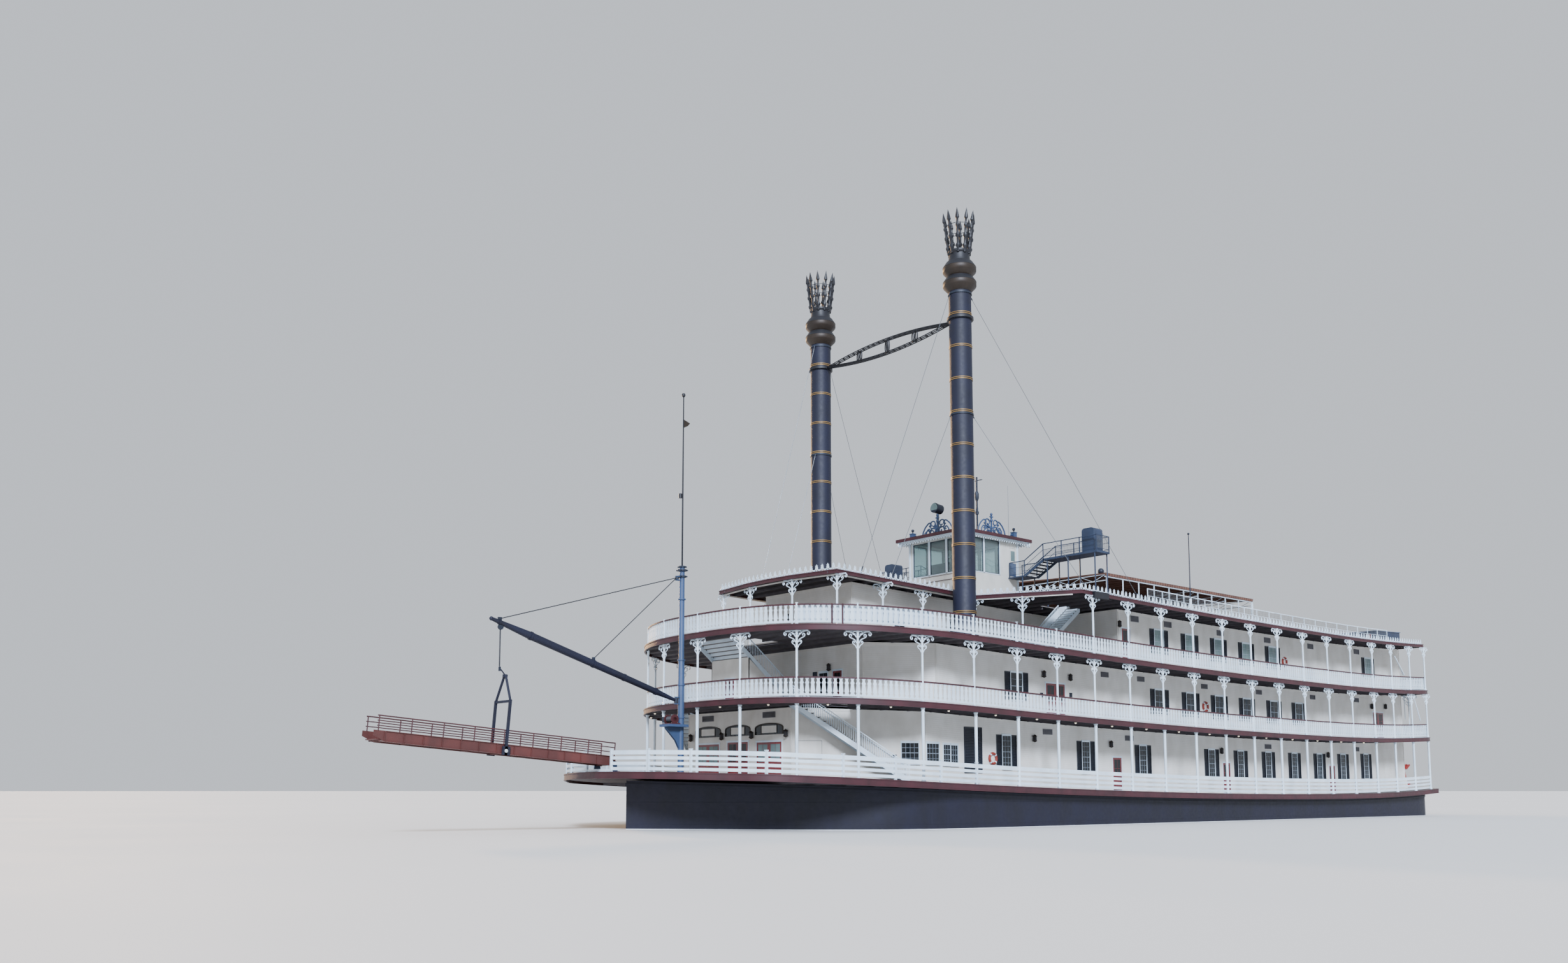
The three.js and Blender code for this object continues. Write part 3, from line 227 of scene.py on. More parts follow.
class Paintwork:
    """Makes one Blender material for each finish and keeps it."""

    COAT_ROUGHNESS = 0.12
    CLARITY = 0.9                   # share of light that passes through clear glass
    LAMP_STRENGTH = 1.6
    # A plank seam is a dark joint; the dark line under a lap is a painted shadow.
    SHADED = 0.9                    # how far a seam or a lap takes the second colour
    MOTTLED = (0.35, 0.7)           # the noise's values at which mottling starts and is full

    made: dict[Finish, bpy.types.Material] = {}

    def __init__(self, finish: Finish) -> None:
        """Starts the material of one finish."""
        self.finish = finish
        self.material = bpy.data.materials.new(finish.name)
        self.material.use_nodes = True
        self.tree = self.material.node_tree
        self.tree.nodes.clear()
        self.place = add_node(self.tree, "ShaderNodeTexCoord", {}).outputs["Object"]
        self.axes = add_node(self.tree, "ShaderNodeSeparateXYZ", {0: self.place}).outputs

    @classmethod
    def of(cls, finish: Finish) -> bpy.types.Material:
        """Gives the material of a finish, made once."""
        if finish not in cls.made:
            cls.made[finish] = cls(finish).build()
        return cls.made[finish]

    def calc(self, operation: str, a: object, b: object = 0.0) -> bpy.types.NodeSocket:
        """Does one piece of arithmetic on sockets or numbers.

        Args:
            operation: The Math node's operation.
            a: The first value.
            b: The second value.

        Returns:
            The result's socket.
        """
        return add_node(self.tree, "ShaderNodeMath", {"operation": operation, 0: a, 1: b}).outputs[0]

    def noise(self, size: float, detail: float = 3.0, stretch: Point = (1, 1, 1)) -> bpy.types.NodeSocket:
        """Makes noise whose features are about a size in millimetres.

        Args:
            size: The feature size.
            detail: The noise's detail.
            stretch: The scale along each axis.

        Returns:
            The noise's factor.
        """
        mapping = add_node(self.tree, "ShaderNodeMapping", {0: self.place, "Scale": stretch})
        return add_node(self.tree, "ShaderNodeTexNoise", {
            "Vector": mapping.outputs[0], "Scale": 1 / (size * MM), "Detail": detail}).outputs[0]

    def height(self) -> tuple[bpy.types.NodeSocket, bpy.types.NodeSocket | None]:
        """Makes the pattern's relief.

        Returns:
            The height, and where the pattern darkens: a plank's dark seam, or the painted shadow under a lap,
            if it has either.
        """
        finish, pitch = self.finish, self.finish.pitch * MM
        x, y, z = self.axes
        if finish.pattern is Pattern.LAPPED:
            rise, run = (length * MM for length in SHEER_BOW)
            ahead = self.calc("MAXIMUM", self.calc("SUBTRACT", x, SHEER_LOW * MM), 0.0)
            lift = self.calc("MULTIPLY", self.calc("MULTIPLY", ahead, ahead), rise / run ** 2)
            board = self.calc("FRACT", self.calc("DIVIDE", self.calc("SUBTRACT", z, lift), pitch))
            # The top tenth of each board, just under the board above, is a painted shadow line.
            return self.calc("SUBTRACT", 1.0, board), self.calc("GREATER_THAN", board, 0.9)
        if finish.pattern is Pattern.PLANKS:
            edge = self.calc("LESS_THAN", self.calc("FRACT", self.calc("DIVIDE", y, pitch)), 0.1)
            return self.calc("SUBTRACT", 1.0, edge), edge
        if finish.pattern is Pattern.RIBS:
            return self.calc("SINE", self.calc("MULTIPLY", x, 2 * math.pi / pitch)), None
        if finish.pattern is Pattern.PLATES:
            flat = add_node(self.tree, "ShaderNodeCombineXYZ", {0: self.calc("ADD", x, y), 1: z}).outputs[0]
            bricks = add_node(self.tree, "ShaderNodeTexBrick", {
                "Vector": flat, "Color1": (1, 1, 1, 1), "Color2": (1, 1, 1, 1), "Mortar": (0, 0, 0, 1),
                "Scale": 1.0, "Mortar Size": 1.2 * MM, "Mortar Smooth": 0.6, "Brick Width": 2.4 * pitch,
                "Row Height": pitch / 2})
            return bricks.outputs["Color"], None
        return self.noise(finish.pitch, 2.0), None

    def build(self) -> bpy.types.Material:
        """Builds the node tree.

        Returns:
            The finished material.
        """
        finish, tree = self.finish, self.tree
        shader = add_node(tree, "ShaderNodeBsdfPrincipled", {
            "Base Color": colour(finish.base), "Roughness": finish.roughness, "Metallic": finish.metallic,
            "Coat Weight": finish.coat, "Coat Roughness": self.COAT_ROUGHNESS})
        add_node(tree, "ShaderNodeOutputMaterial", {"Surface": shader.outputs[0]})
        if finish.pattern is Pattern.GLASS:
            shader.inputs["Transmission Weight"].default_value = self.CLARITY
            return self.material
        if finish.pattern is Pattern.GLOW:
            shader.inputs["Emission Color"].default_value = colour(finish.base)
            shader.inputs["Emission Strength"].default_value = self.LAMP_STRENGTH
            return self.material
        amount = add_node(tree, "ShaderNodeMapRange", {
            "Value": self.noise(finish.mottle, 5.0, (1, 1, 0.6)),
            "From Min": self.MOTTLED[0], "From Max": self.MOTTLED[1]}).outputs[0]
        height, seam_and_lap_shadow = self.height()
        # The second colour at a plank seam is a dark joint; at a lap it is painted shadow.
        if seam_and_lap_shadow is not None:
            amount = self.calc("MAXIMUM", amount, self.calc("MULTIPLY", seam_and_lap_shadow, self.SHADED))
        tint = add_node(tree, "ShaderNodeMix", {
            "data_type": "RGBA", 0: amount, 6: colour(finish.base), 7: colour(finish.second)})
        tree.links.new(tint.outputs[2], shader.inputs["Base Color"])
        spread = add_node(tree, "ShaderNodeMapRange", {
            "Value": self.noise(finish.mottle / 4), "To Min": max(0.02, finish.roughness - 0.08),
            "To Max": finish.roughness + 0.1})
        tree.links.new(spread.outputs[0], shader.inputs["Roughness"])
        if finish.relief:
            bump = add_node(tree, "ShaderNodeBump", {"Height": height, "Distance": finish.relief * MM})
            tree.links.new(bump.outputs[0], shader.inputs["Normal"])
        return self.material


def between(a: Point, b: Point) -> Matrix:
    """Gives the frame midway between two points.

    Args:
        a: The point that the frame's Z axis comes from.
        b: The point that it runs to.

    Returns:
        The frame.
    """
    start, end = Vector(a), Vector(b)
    turn = (end - start).to_track_quat("Z", "Y").to_matrix().to_4x4()
    return Matrix.Translation((start + end) / 2) @ turn


def rooted(a: Point, b: Point) -> Matrix:
    """Gives the frame that stands at one point, facing another.

    Args:
        a: The frame's place.
        b: The point that its Z axis runs to.

    Returns:
        The frame.
    """
    return between(a, b) @ Matrix.Translation((0, 0, -(Vector(b) - Vector(a)).length / 2))


def offset(path: Path, distance: float, closed: bool = False) -> Path:
    """Moves a plan path sideways, to its left for a positive distance.

    Args:
        path: The points.
        distance: How far.
        closed: Whether the last point joins the first.

    Returns:
        The moved points.
    """
    runs = [Vector((x1 - x0, y1 - y0)).normalized() for (x0, y0), (x1, y1) in zip(path, path[1:] + path[:1])]
    moved = []
    for i, (x, y) in enumerate(path):
        before = runs[i - 1] if closed or i else runs[0]
        after = runs[i] if closed or i < len(path) - 1 else before
        along = (before + after).normalized()
        reach = distance / max(0.3, along.dot(before))
        moved.append((x - along.y * reach, y + along.x * reach))
    return moved


def strip(path: Path, width: float, closed: bool = False) -> tuple[Path, list[Path]]:
    """Gives the outline of an even strip along a path.

    Args:
        path: The strip's middle line.
        width: Its width.
        closed: Whether the line's last point joins the first.

    Returns:
        The outline, and its hole where the line is closed.
    """
    left, right = offset(path, width / 2, closed), offset(path, -width / 2, closed)
    if closed:
        return right, [left]
    return left + right[::-1], []


def mirrored(path: Path) -> Path:
    """Gives a path's mirror image across the centreline."""
    return [(x, -y) for x, y in path]


def both_sides(half: Path) -> Path:
    """Completes a port half outline, bow first, with its mirror image."""
    return half + [(x, -y) for x, y in reversed(half) if y]


def smooth(points: Path, steps: int = 5) -> Path:
    """Runs an even curve through points.

    Args:
        points: The points that it passes.
        steps: The pieces between two of them.

    Returns:
        The finer path.
    """
    ends = [points[0], *points, points[-1]]
    out: Path = []
    for i in range(1, len(ends) - 2):
        a, b, c, d = (Vector(p) for p in ends[i - 1:i + 3])
        for k in range(steps):
            t = k / steps
            at = 0.5 * (2 * b + (c - a) * t + (2 * a - 5 * b + 4 * c - d) * t ** 2
                        + (3 * b - a - 3 * c + d) * t ** 3)
            out.append((at.x, at.y))
    return [*out, points[-1]]


def stations(path: Path, pitch: float, start: float = 0.0) -> list[tuple[float, float, float]]:
    """Spaces points evenly along a path.

    Args:
        path: The path.
        pitch: The spacing.
        start: The distance of the first point from the path's start.

    Returns:
        Rows of x, y and the path's heading there.
    """
    rows, left = [], start
    for (x0, y0), (x1, y1) in zip(path, path[1:]):
        run = math.hypot(x1 - x0, y1 - y0)
        heading = math.atan2(y1 - y0, x1 - x0)
        while left <= run:
            share = left / run
            rows.append((x0 + (x1 - x0) * share, y0 + (y1 - y0) * share, heading))
            left += pitch
        left -= run
    return rows


def standing(x: float, y: float, z: float, heading: float = 0.0) -> Matrix:
    """Places a shape drawn along X.

    Args:
        x: The distance ahead of amidships.
        y: The distance to port.
        z: The level.
        heading: How far it is turned in plan.

    Returns:
        The place's frame.
    """
    return Matrix.Translation((x, y, z)) @ Matrix.Rotation(heading, 4, "Z")


class Form:
    """A mesh being shaped, in millimetres, all of one finish."""

    CUT = 260                       # spacing of the cuts across a form that follows the sheer

    def __init__(self) -> None:
        """Starts an empty mesh."""
        self.mesh = bmesh.new()

    @property
    def everything(self) -> list:
        """All the vertices, edges and faces."""
        return self.mesh.verts[:] + self.mesh.edges[:] + self.mesh.faces[:]

    @staticmethod
    def only(kind: type, geometry: Iterable) -> list:
        """Picks out one kind of element.

        Args:
            kind: Vertices, edges or faces.
            geometry: What an operator made.

        Returns:
            The elements of that kind.
        """
        return [part for part in geometry if isinstance(part, kind)]

    def box(self, x: Span, y: Span, z: Span, frame: Matrix = UPRIGHT) -> Form:
        """Adds a block.

        Args:
            x: Its limits along the frame's X.
            y: Its limits along the frame's Y.
            z: Its limits along the frame's Z.
            frame: Where it is drawn.

        Returns:
            The form.
        """
        size = [high - low for low, high in (x, y, z)]
        centre = [(high + low) / 2 for low, high in (x, y, z)]
        place = frame @ Matrix.Translation(centre) @ Matrix.Diagonal((*size, 1))
        bmesh.ops.create_cube(self.mesh, size=1, matrix=place)
        return self

    def bar(self, a: Point, b: Point, width: float, depth: float) -> Form:
        """Adds a straight bar.

        Args:
            a: The middle of one end.
            b: The middle of the other.
            width: Its level size.
            depth: Its size in the upright plane.

        Returns:
            The form.
        """
        start, end = Vector(a), Vector(b)
        along = (end - start).normalized()
        level = Vector((0, 0, 1)).cross(along)
        level = level.normalized() if level.length > 1e-6 else Vector((0, 1, 0))
        rows = Matrix((along, level, along.cross(level))).transposed().to_4x4()
        place = Matrix.Translation((start + end) / 2) @ rows
        bmesh.ops.create_cube(self.mesh, size=1, matrix=place @ Matrix.Diagonal(
            ((end - start).length, width, depth, 1)))
        return self

    def rod(self, a: Point, b: Point, radius: float, sides: int = 8, end: float | None = None) -> Form:
        """Adds a round rod or a cone.

        Args:
            a: The middle of one end.
            b: The middle of the other.
            radius: Its radius at the first end.
            sides: The number of sides.
            end: Its radius at the other end, if that differs.

        Returns:
            The form.
        """
        bmesh.ops.create_cone(
            self.mesh, cap_ends=True, cap_tris=False, segments=sides, radius1=radius,
            radius2=radius if end is None else end, depth=(Vector(b) - Vector(a)).length,
            matrix=between(a, b))
        return self

    def ball(self, at: Point, radius: float, rings: int = 8) -> Form:
        """Adds a ball.

        Args:
            at: Its middle.
            radius: Its radius.
            rings: The number of its rings.

        Returns:
            The form.
        """
        bmesh.ops.create_uvsphere(self.mesh, u_segments=2 * rings, v_segments=rings, radius=radius,
                                  matrix=Matrix.Translation(at))
        return self

    def tube(self, points: Sequence[Point], radius: float, sides: int = 6, closed: bool = False) -> Form:
        """Sweeps a ring along a line of points.

        Args:
            points: The line.
            radius: The tube's radius.
            sides: The ring's sides.
            closed: Whether the line closes on itself.

        Returns:
            The form.
        """
        line = [Vector(p) for p in points]
        count = len(line)
        frames, turn = [], None
        for i, at in enumerate(line):
            before = line[(i - 1) % count] if closed or i else at
            after = line[(i + 1) % count] if closed or i < count - 1 else at
            along = (after - before).normalized()
            swing = turn.to_matrix().col[2].rotation_difference(along) if turn else None
            turn = swing @ turn if turn else along.to_track_quat("Z", "Y")
            frames.append(Matrix.Translation(at) @ turn.to_matrix().to_4x4())
        old = set(self.mesh.faces)
        first = bmesh.ops.create_circle(self.mesh, cap_ends=not closed, segments=sides, radius=radius,
                                        matrix=frames[0])["verts"]
        edges = list({e for v in first for e in v.link_edges})
        for here, there in zip(frames, frames[1:]):
            grown = bmesh.ops.extrude_edge_only(self.mesh, edges=edges)["geom"]
            edges = self.only(BMEdge, grown)
            bmesh.ops.transform(self.mesh, matrix=there @ here.inverted(), verts=self.only(BMVert, grown))
        if closed:
            loop = list({e for v in first for e in v.link_edges if e.other_vert(v) in first})
            bmesh.ops.bridge_loops(self.mesh, edges=edges + loop)
        else:
            bmesh.ops.edgeloop_fill(self.mesh, edges=edges)
        bmesh.ops.recalc_face_normals(self.mesh, faces=[f for f in self.mesh.faces if f not in old])
        return self

    def plate(self, outline: Path, z: Span, holes: Iterable[Path] = (), frame: Matrix = UPRIGHT) -> Form:
        """Adds a flat plate with holes.

        Args:
            outline: Its outline in the frame's X and Y.
            z: Its lower and upper face in the frame's Z.
            holes: The outlines of its holes.
            frame: Where it is drawn.

        Returns:
            The form.
        """
        edges, holes = [], list(holes)
        for loop in [outline, *holes]:
            verts = [self.mesh.verts.new(frame @ Vector((u, v, z[0]))) for u, v in loop]
            edges += [self.mesh.edges.new(pair) for pair in zip(verts, verts[1:] + verts[:1])]
        filled = bmesh.ops.triangle_fill(self.mesh, use_beauty=True, use_dissolve=not holes, edges=edges)
        faces = self.only(BMFace, filled["geom"])
        grown = bmesh.ops.extrude_face_region(self.mesh, geom=faces, use_keep_orig=True)["geom"]
        raised = self.only(BMVert, grown)
        lift = frame.to_3x3() @ Vector((0, 0, z[1] - z[0]))
        bmesh.ops.translate(self.mesh, vec=lift, verts=raised)
        walls = {f for v in raised for f in v.link_faces} | set(faces)
        bmesh.ops.recalc_face_normals(self.mesh, faces=list(walls))
        return self

    def turned(self, profile: Sequence[Point], at: Point = (0, 0), sides: int = 24) -> Form:
        """Turns a profile of [radius, height] round an upright axis.

        Args:
            profile: The profile, from the axis to the axis.
            at: The axis in plan.
            sides: The number of sides.

        Returns:
            The form.
        """
        verts = [self.mesh.verts.new((at[0] + r, at[1], z)) for r, z in profile]
        edges = [self.mesh.edges.new(pair) for pair in zip(verts, verts[1:])]
        bmesh.ops.spin(self.mesh, geom=verts + edges, cent=(*at, 0), axis=(0, 0, 1),
                       angle=2 * math.pi, steps=sides, use_merge=True)
        spun, newest = set(verts), set(verts)
        while newest:
            newest = {e.other_vert(v) for v in newest for e in v.link_edges} - spun
            spun |= newest
        bmesh.ops.remove_doubles(self.mesh, verts=list(spun), dist=0.01)
        faces = list({f for v in spun if v.is_valid for f in v.link_faces})
        bmesh.ops.recalc_face_normals(self.mesh, faces=faces)
        return self

    def collar(self, radius: float, z: Span, at: Point = (0, 0), sides: int = 24) -> Form:
        """Adds a flat round collar.

        Args:
            radius: Its outer radius.
            z: Its lower and upper face.
            at: Its axis in plan.
            sides: The number of sides.

        Returns:
            The form.
        """
        return self.turned([(0, z[0]), (radius, z[0]), (radius, z[1]), (0, z[1])], at, sides)

    def cut_across(self, first: int, last: int) -> None:
        """Cuts the form at even steps along the boat.

        Args:
            first: The first cut, in steps ahead of amidships.
            last: The last.
        """
        for k in range(first, last + 1):
            bmesh.ops.bisect_plane(self.mesh, geom=self.everything, plane_co=(k * self.CUT, 0, 0),
                                   plane_no=(1, 0, 0))

    def follow_sheer(self) -> Form:
        """Cuts the form into short runs along the boat and lifts it by the sheer."""
        reach = [v.co.x for v in self.mesh.verts]
        self.cut_across(math.ceil(min(reach) / self.CUT), math.floor(max(reach) / self.CUT))
        for vert in self.mesh.verts:
            vert.co.z += sheer(vert.co.x)
        return self

    def mirror(self) -> Form:
        """Adds the mirror image on the other side of the boat."""
        copy = bmesh.ops.duplicate(self.mesh, geom=self.everything)["geom"]
        bmesh.ops.scale(self.mesh, vec=(1, -1, 1), verts=self.only(BMVert, copy))
        bmesh.ops.reverse_faces(self.mesh, faces=self.only(BMFace, copy))
        return self

    def repeat(self, template: Form, places: Iterable[Matrix]) -> Form:
        """Joins a copy of a small form at each place.

        Args:
            template: The form to copy.
            places: Where each copy goes.

        Returns:
            The form.
        """
        template.mesh.verts.index_update()
        corners = np.array([v.co[:] for v in template.mesh.verts])
        faces = [[v.index for v in f.verts] for f in template.mesh.faces]
        points, rings = [], []
        for place in places:
            turn = np.array(place)
            rings += [[i + len(points) * len(corners) for i in face] for face in faces]
            points.append(corners @ turn[:3, :3].T + turn[:3, 3])
        if points:
            joined = bpy.data.meshes.new("copies")
            joined.from_pydata(np.concatenate(points).tolist(), [], rings)
            self.mesh.from_mesh(joined)
            bpy.data.meshes.remove(joined)
        return self

    def join(self, other: Form) -> Form:
        """Joins another form where it stands."""
        return self.repeat(other, [UPRIGHT])

    def band(self, path: Path, width: float, z: Span, closed: bool = False) -> Form:
        """Joins a strip along a path, lifted by the sheer.

        Args:
            path: The strip's middle line.
            width: Its width.
            z: Its lower and upper face amidships.
            closed: Whether the path closes on itself.

        Returns:
            The form.
        """
        outline, holes = strip(path, width, closed)
        return self.join(Form().plate(outline, z, holes).follow_sheer())

    def finished(self, name: str, finish: Finish, sharp: float = 35.0) -> bpy.types.Object:
        """Makes the form an object in metres.

        Args:
            name: The piece's name.
            finish: Its finish.
            sharp: Edges turning more than this many degrees stay crisp.

        Returns:
            The object.
        """
        bmesh.ops.scale(self.mesh, vec=(MM, MM, MM), verts=self.mesh.verts[:])
        mesh = bpy.data.meshes.new(name)
        self.mesh.to_mesh(mesh)
        self.mesh.free()
        mesh.polygons.foreach_set("use_smooth", [True] * len(mesh.polygons))
        mesh.set_sharp_from_angle(angle=math.radians(sharp))
        mesh.materials.append(Paintwork.of(finish))
        piece = bpy.data.objects.new(name, mesh)
        bpy.context.scene.collection.objects.link(piece)
        return piece


class Kit:
    """The pieces of one sub-assembly, one mesh for each finish, all on one body."""

    def __init__(self, name: str, body: str = "boat") -> None:
        """Starts an empty kit.

        Args:
            name: What its pieces' names start with.
            body: The body that they move with.
        """
        self.name, self.body = name, body
        self.forms: dict[Finish, Form] = {}

    def of(self, finish: Finish) -> Form:
        """Gives the form that takes a finish."""
        return self.forms.setdefault(finish, Form())

    def mirror(self) -> Kit:
        """Adds every form's mirror image on the other side of the boat."""
        for form in self.forms.values():
            form.mirror()
        return self

    def repeat(self, template: Kit, places: Iterable[Matrix]) -> Kit:
        """Joins a copy of another kit at each place.

        Args:
            places: Where each copy goes.
        """
        spots = list(places)
        for finish, form in template.forms.items():
            self.of(finish).repeat(form, spots)
        return self

    def hang(self, item: Kit, wall: Facade, height: float, *alongs: float) -> Kit:
        """Hangs copies of an item on a wall.

        Args:
            item: What to hang.
            wall: The wall.
            height: The copies' height above the deck.
            *alongs: Their distances along the wall.
        """
        return self.repeat(item, [wall.at(along, height) for along in alongs])

    def done(self, *replaced: str) -> None:
        """Args:
            *replaced: The CAD nodes that they stand for.
        """
        for number, (finish, form) in enumerate(self.forms.items()):
            if not form.mesh.faces:
                continue
            piece = form.finished(f"{self.name}_{finish.name}", finish)
            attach(piece, self.body)
            if number == 0 and replaced:
                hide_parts(*replaced)
            log.info("%s: %d faces on %s", piece.name, len(piece.data.polygons), self.body)


@dataclass
class Studio:
    """A pale floor at the waterline, soft light, and the camera at the photograph's viewing angle.

    Attributes:
        eye: The camera's place.
        heading: Its direction in plan, in degrees from -X towards -Y.
        pitch: Its rise in degrees above the level.
        lens: Its focal length.
        shift: Its upward shift as a share of the sensor's width.
        floor_reach: How far the floor runs each way.
    """

    eye: tuple[float, float, float] = (8405.4, 5940.2, 422.0)
    heading: float = 49.52
    pitch: float = 6.33
    lens: float = 29.79
    shift: float = 0.1053
    floor_reach: float = 400_000

    SENSOR = 36
    SIGHT = (0.05, 2000)            # the nearest and farthest that the camera sees, in metres

    def floor(self) -> None:
        """Lays the floor and its even pale finish."""
        form, reach = Form(), (-self.floor_reach, self.floor_reach)
        form.box(reach, reach, (WATERLINE - 20, WATERLINE))
        finish = Finish("studio_floor", "", "#e4e3e0", "#e0dfdc", 0.85, relief=0.0, mottle=4000)
        piece = form.finished("studio_floor", finish)

    @staticmethod
    def sun(name: str, strength: float, tint: str, towards: Point, spread: float) -> None:
        """Adds one distant lamp.

        Args:
            name: The lamp's name.
            strength: Its strength.
            tint: Its colour as sRGB hex.
            towards: The direction that it shines in.
            spread: Its angle in degrees, which softens its shadows.
        """
        data = bpy.data.lights.new(name, "SUN")
        data.energy, data.color, data.angle = strength, colour(tint)[:3], math.radians(spread)
        lamp = bpy.data.objects.new(name, data)
        lamp.rotation_euler = Vector(towards).to_track_quat("-Z", "Y").to_euler()
        bpy.context.scene.collection.objects.link(lamp)

    def lights(self) -> None:
        """Lights the boat with a pale dome, a soft key from port and a low warm sun from starboard."""
        world = bpy.data.worlds.new("studio_dome")
        world.use_nodes = True
        tree = world.node_tree
        tree.nodes.clear()
        dome = add_node(tree, "ShaderNodeBackground", {"Color": colour("#e3e9f2"), "Strength": 0.95})
        add_node(tree, "ShaderNodeOutputWorld", {"Surface": dome.outputs[0]})
        bpy.context.scene.world = world
        self.sun("key", 6.3, "#dfeaff", (-0.5, -0.66, -0.5), 14)
        self.sun("low_sun", 2.6, "#ffcf96", (0.18, 0.95, -0.22), 4)

    def camera(self) -> None:
        """Places the camera."""
        data = bpy.data.cameras.new("camera")
        data.lens, data.sensor_width, data.shift_y = self.lens, self.SENSOR, self.shift
        data.clip_start, data.clip_end = self.SIGHT
        camera = bpy.data.objects.new("camera", data)
        camera.location = Vector(self.eye) * MM
        turn, rise = math.radians(self.heading), math.radians(self.pitch)
        ahead = Vector((-math.cos(turn) * math.cos(rise), -math.sin(turn) * math.cos(rise), math.sin(rise)))
        camera.rotation_euler = ahead.to_track_quat("-Z", "Y").to_euler()
        bpy.context.scene.collection.objects.link(camera)
        bpy.context.scene.camera = camera

    def build(self) -> None:
        """Sets the stage."""
        self.camera()
        self.floor()
        self.lights()


MAIN_DECK_BOW = [(4660, 0), (4640, 200), (4580, 400), (4490, 600), (4360, 780), (4260, 930), (4120, 1030),
                 (3900, 1110), (3600, 1165), (3300, 1185)]
HULL_BOW = [(4460, 0), (4100, 430), (3800, 770), (3500, 1010), (3200, 1100), (2900, 1125)]
ROOF_HALF = [(3468, 0), (3460, 200), (3408, 550), (2210, 550), (1940, 1165), (-2760, 1165), (-2800, 1120)]
ROOF_LEVEL = 1610


@dataclass(frozen=True)
class Storey:
    """One deck's levels amidships.

    Attributes:
        name: The deck's name.
        floor: Its top.
        under: The underside of the deck above.
        column: Its columns' radius.
    """

    name: str
    floor: float
    under: float
    column: float

    def base(self, x: float) -> float:
        """Gives the deck's level at a distance along the boat."""
        return self.floor + sheer(x)

    def ceiling(self, x: float) -> float:
        """Gives the level of the underside above at a distance along the boat."""
        return self.under + sheer(x)


MAIN = Storey("main", 395, 794, 8.6)
BOILER = Storey("boiler", 827, 1190, 6.2)
TEXAS = Storey("texas", 1222, 1587, 6.2)


def bow_point(degrees: float, inset: float) -> tuple[float, float]:
    """Gives a point of the upper decks' round bow.

    Args:
        degrees: How far round it lies from the stem, to port.
        inset: How far in from the deck's edge.

    Returns:
        The point in plan.
    """
    along, across = (math.copysign(abs(share) ** (2 / BOW_FULLNESS), share)
                     for share in (math.cos(math.radians(degrees)), math.sin(math.radians(degrees))))
    return BOW_CENTRE + (BOW_REACH - inset) * along, (HALF_BEAM - inset) * across


def upper_deck_half(inset: float) -> Path:
    """Gives the port half of an upper deck's outline, in from its edge."""
    side = HALF_BEAM - inset
    arc = [bow_point(degrees, inset) for degrees in (0, 1, 3, *range(6, 87, 4), 88, 90)]
    return [*arc, (STERN + 200, side), (STERN + 110, side - 18), (STERN + 50 + inset / 2, side - 70),
            (STERN + 12 + inset, side - 130), (STERN + inset, side - 200)]


@dataclass
class Hull:
    """A wall-sided steel hull with a pointed bow, and the guards under the main deck.

    Attributes:
        top: The level of its upper edge amidships.
        rake_from: Where its bottom starts to rise towards the stern.
        rake: How far the bottom rises, and over what length.
        chine: The width of its bevelled bilge.
    """

    top: float = 358
    rake_from: float = -1800
    rake: tuple[float, float] = (172, 1150)
    chine: float = 28

    FIGURES = (("9", 282), ("8", 258), ("7", 230))
    FIGURE_HEIGHT = 24

    def outline(self) -> Path:
        """Gives the hull's plan."""
        return both_sides(smooth(HULL_BOW, 4) + [(-2700, 1125), (-2900, 1050)])

    def shell(self) -> None:
        """Shapes the hull: level sides, bevelled bilges, and a bottom that rises under the stern."""
        kit = Kit("hull")
        form = kit.of(HULL_NAVY).plate(self.outline(), (0, self.top))
        bottom = [e for e in form.mesh.edges if all(v.co.z < 1 for v in e.verts) and len(e.link_faces) == 2
                  and e.calc_face_angle(0) > 1]
        bmesh.ops.bevel(form.mesh, geom=bottom, offset=self.chine, offset_type="OFFSET", segments=2,
                        profile=0.5, affect="EDGES", clamp_overlap=True, material=-1)
        form.cut_across(-11, 16)
        rise, run = self.rake
        for vert in form.mesh.verts:
            if vert.co.z > self.top - 1:
                vert.co.z += sheer(vert.co.x)
            elif vert.co.x < self.rake_from:
                vert.co.z += rise * (self.rake_from - vert.co.x) / run
        kit.done("hull")

    def trim(self) -> None:
        """Adds a pale band round the hull just above the floor, and the guard along the deck edge."""
        kit = Kit("hull_trim")
        inside, pale_band, guard = (offset(self.outline(), inset, True) for inset in (3, -0.4, -5))
        kit.of(MARK_WHITE).plate(pale_band, (211, 216), [inside])
        kit.of(HULL_NAVY).plate(guard, (326, 344), [offset(self.outline(), 4, True)]).follow_sheer()
        kit.done()

    def marks(self) -> None:
        """Paints plain draft figures on the port side of the stem."""
        kit = Kit("draft_marks")
        (x0, y0), (x1, y1) = HULL_BOW[:2]
        facet = Vector((x0 - x1, y0 - y1, 0)).normalized()
        out = Vector((facet.y, -facet.x, 0))
        for figure, level in self.FIGURES:
            text = bpy.data.curves.new("figure", "FONT")
            text.body, text.size, text.extrude, text.align_x = figure, self.FIGURE_HEIGHT, 0.5, "CENTER"
            drawn = bpy.data.objects.new("figure", text)
            bpy.context.scene.collection.objects.link(drawn)
            graph = bpy.context.evaluated_depsgraph_get()
            shape = bpy.data.meshes.new_from_object(drawn.evaluated_get(graph))
            bpy.data.objects.remove(drawn)
            frame = Matrix((-facet, (0, 0, 1), out)).transposed().to_4x4()
            frame.translation = Vector((4372, 108, level - 8)) + out * 2.4
            shape.transform(frame)
            kit.of(MARK_WHITE).mesh.from_mesh(shape)
            bpy.data.meshes.remove(shape)
        kit.done()

    def build(self) -> None:
        """Makes the hull."""
        self.shell()
        self.trim()
        self.marks()


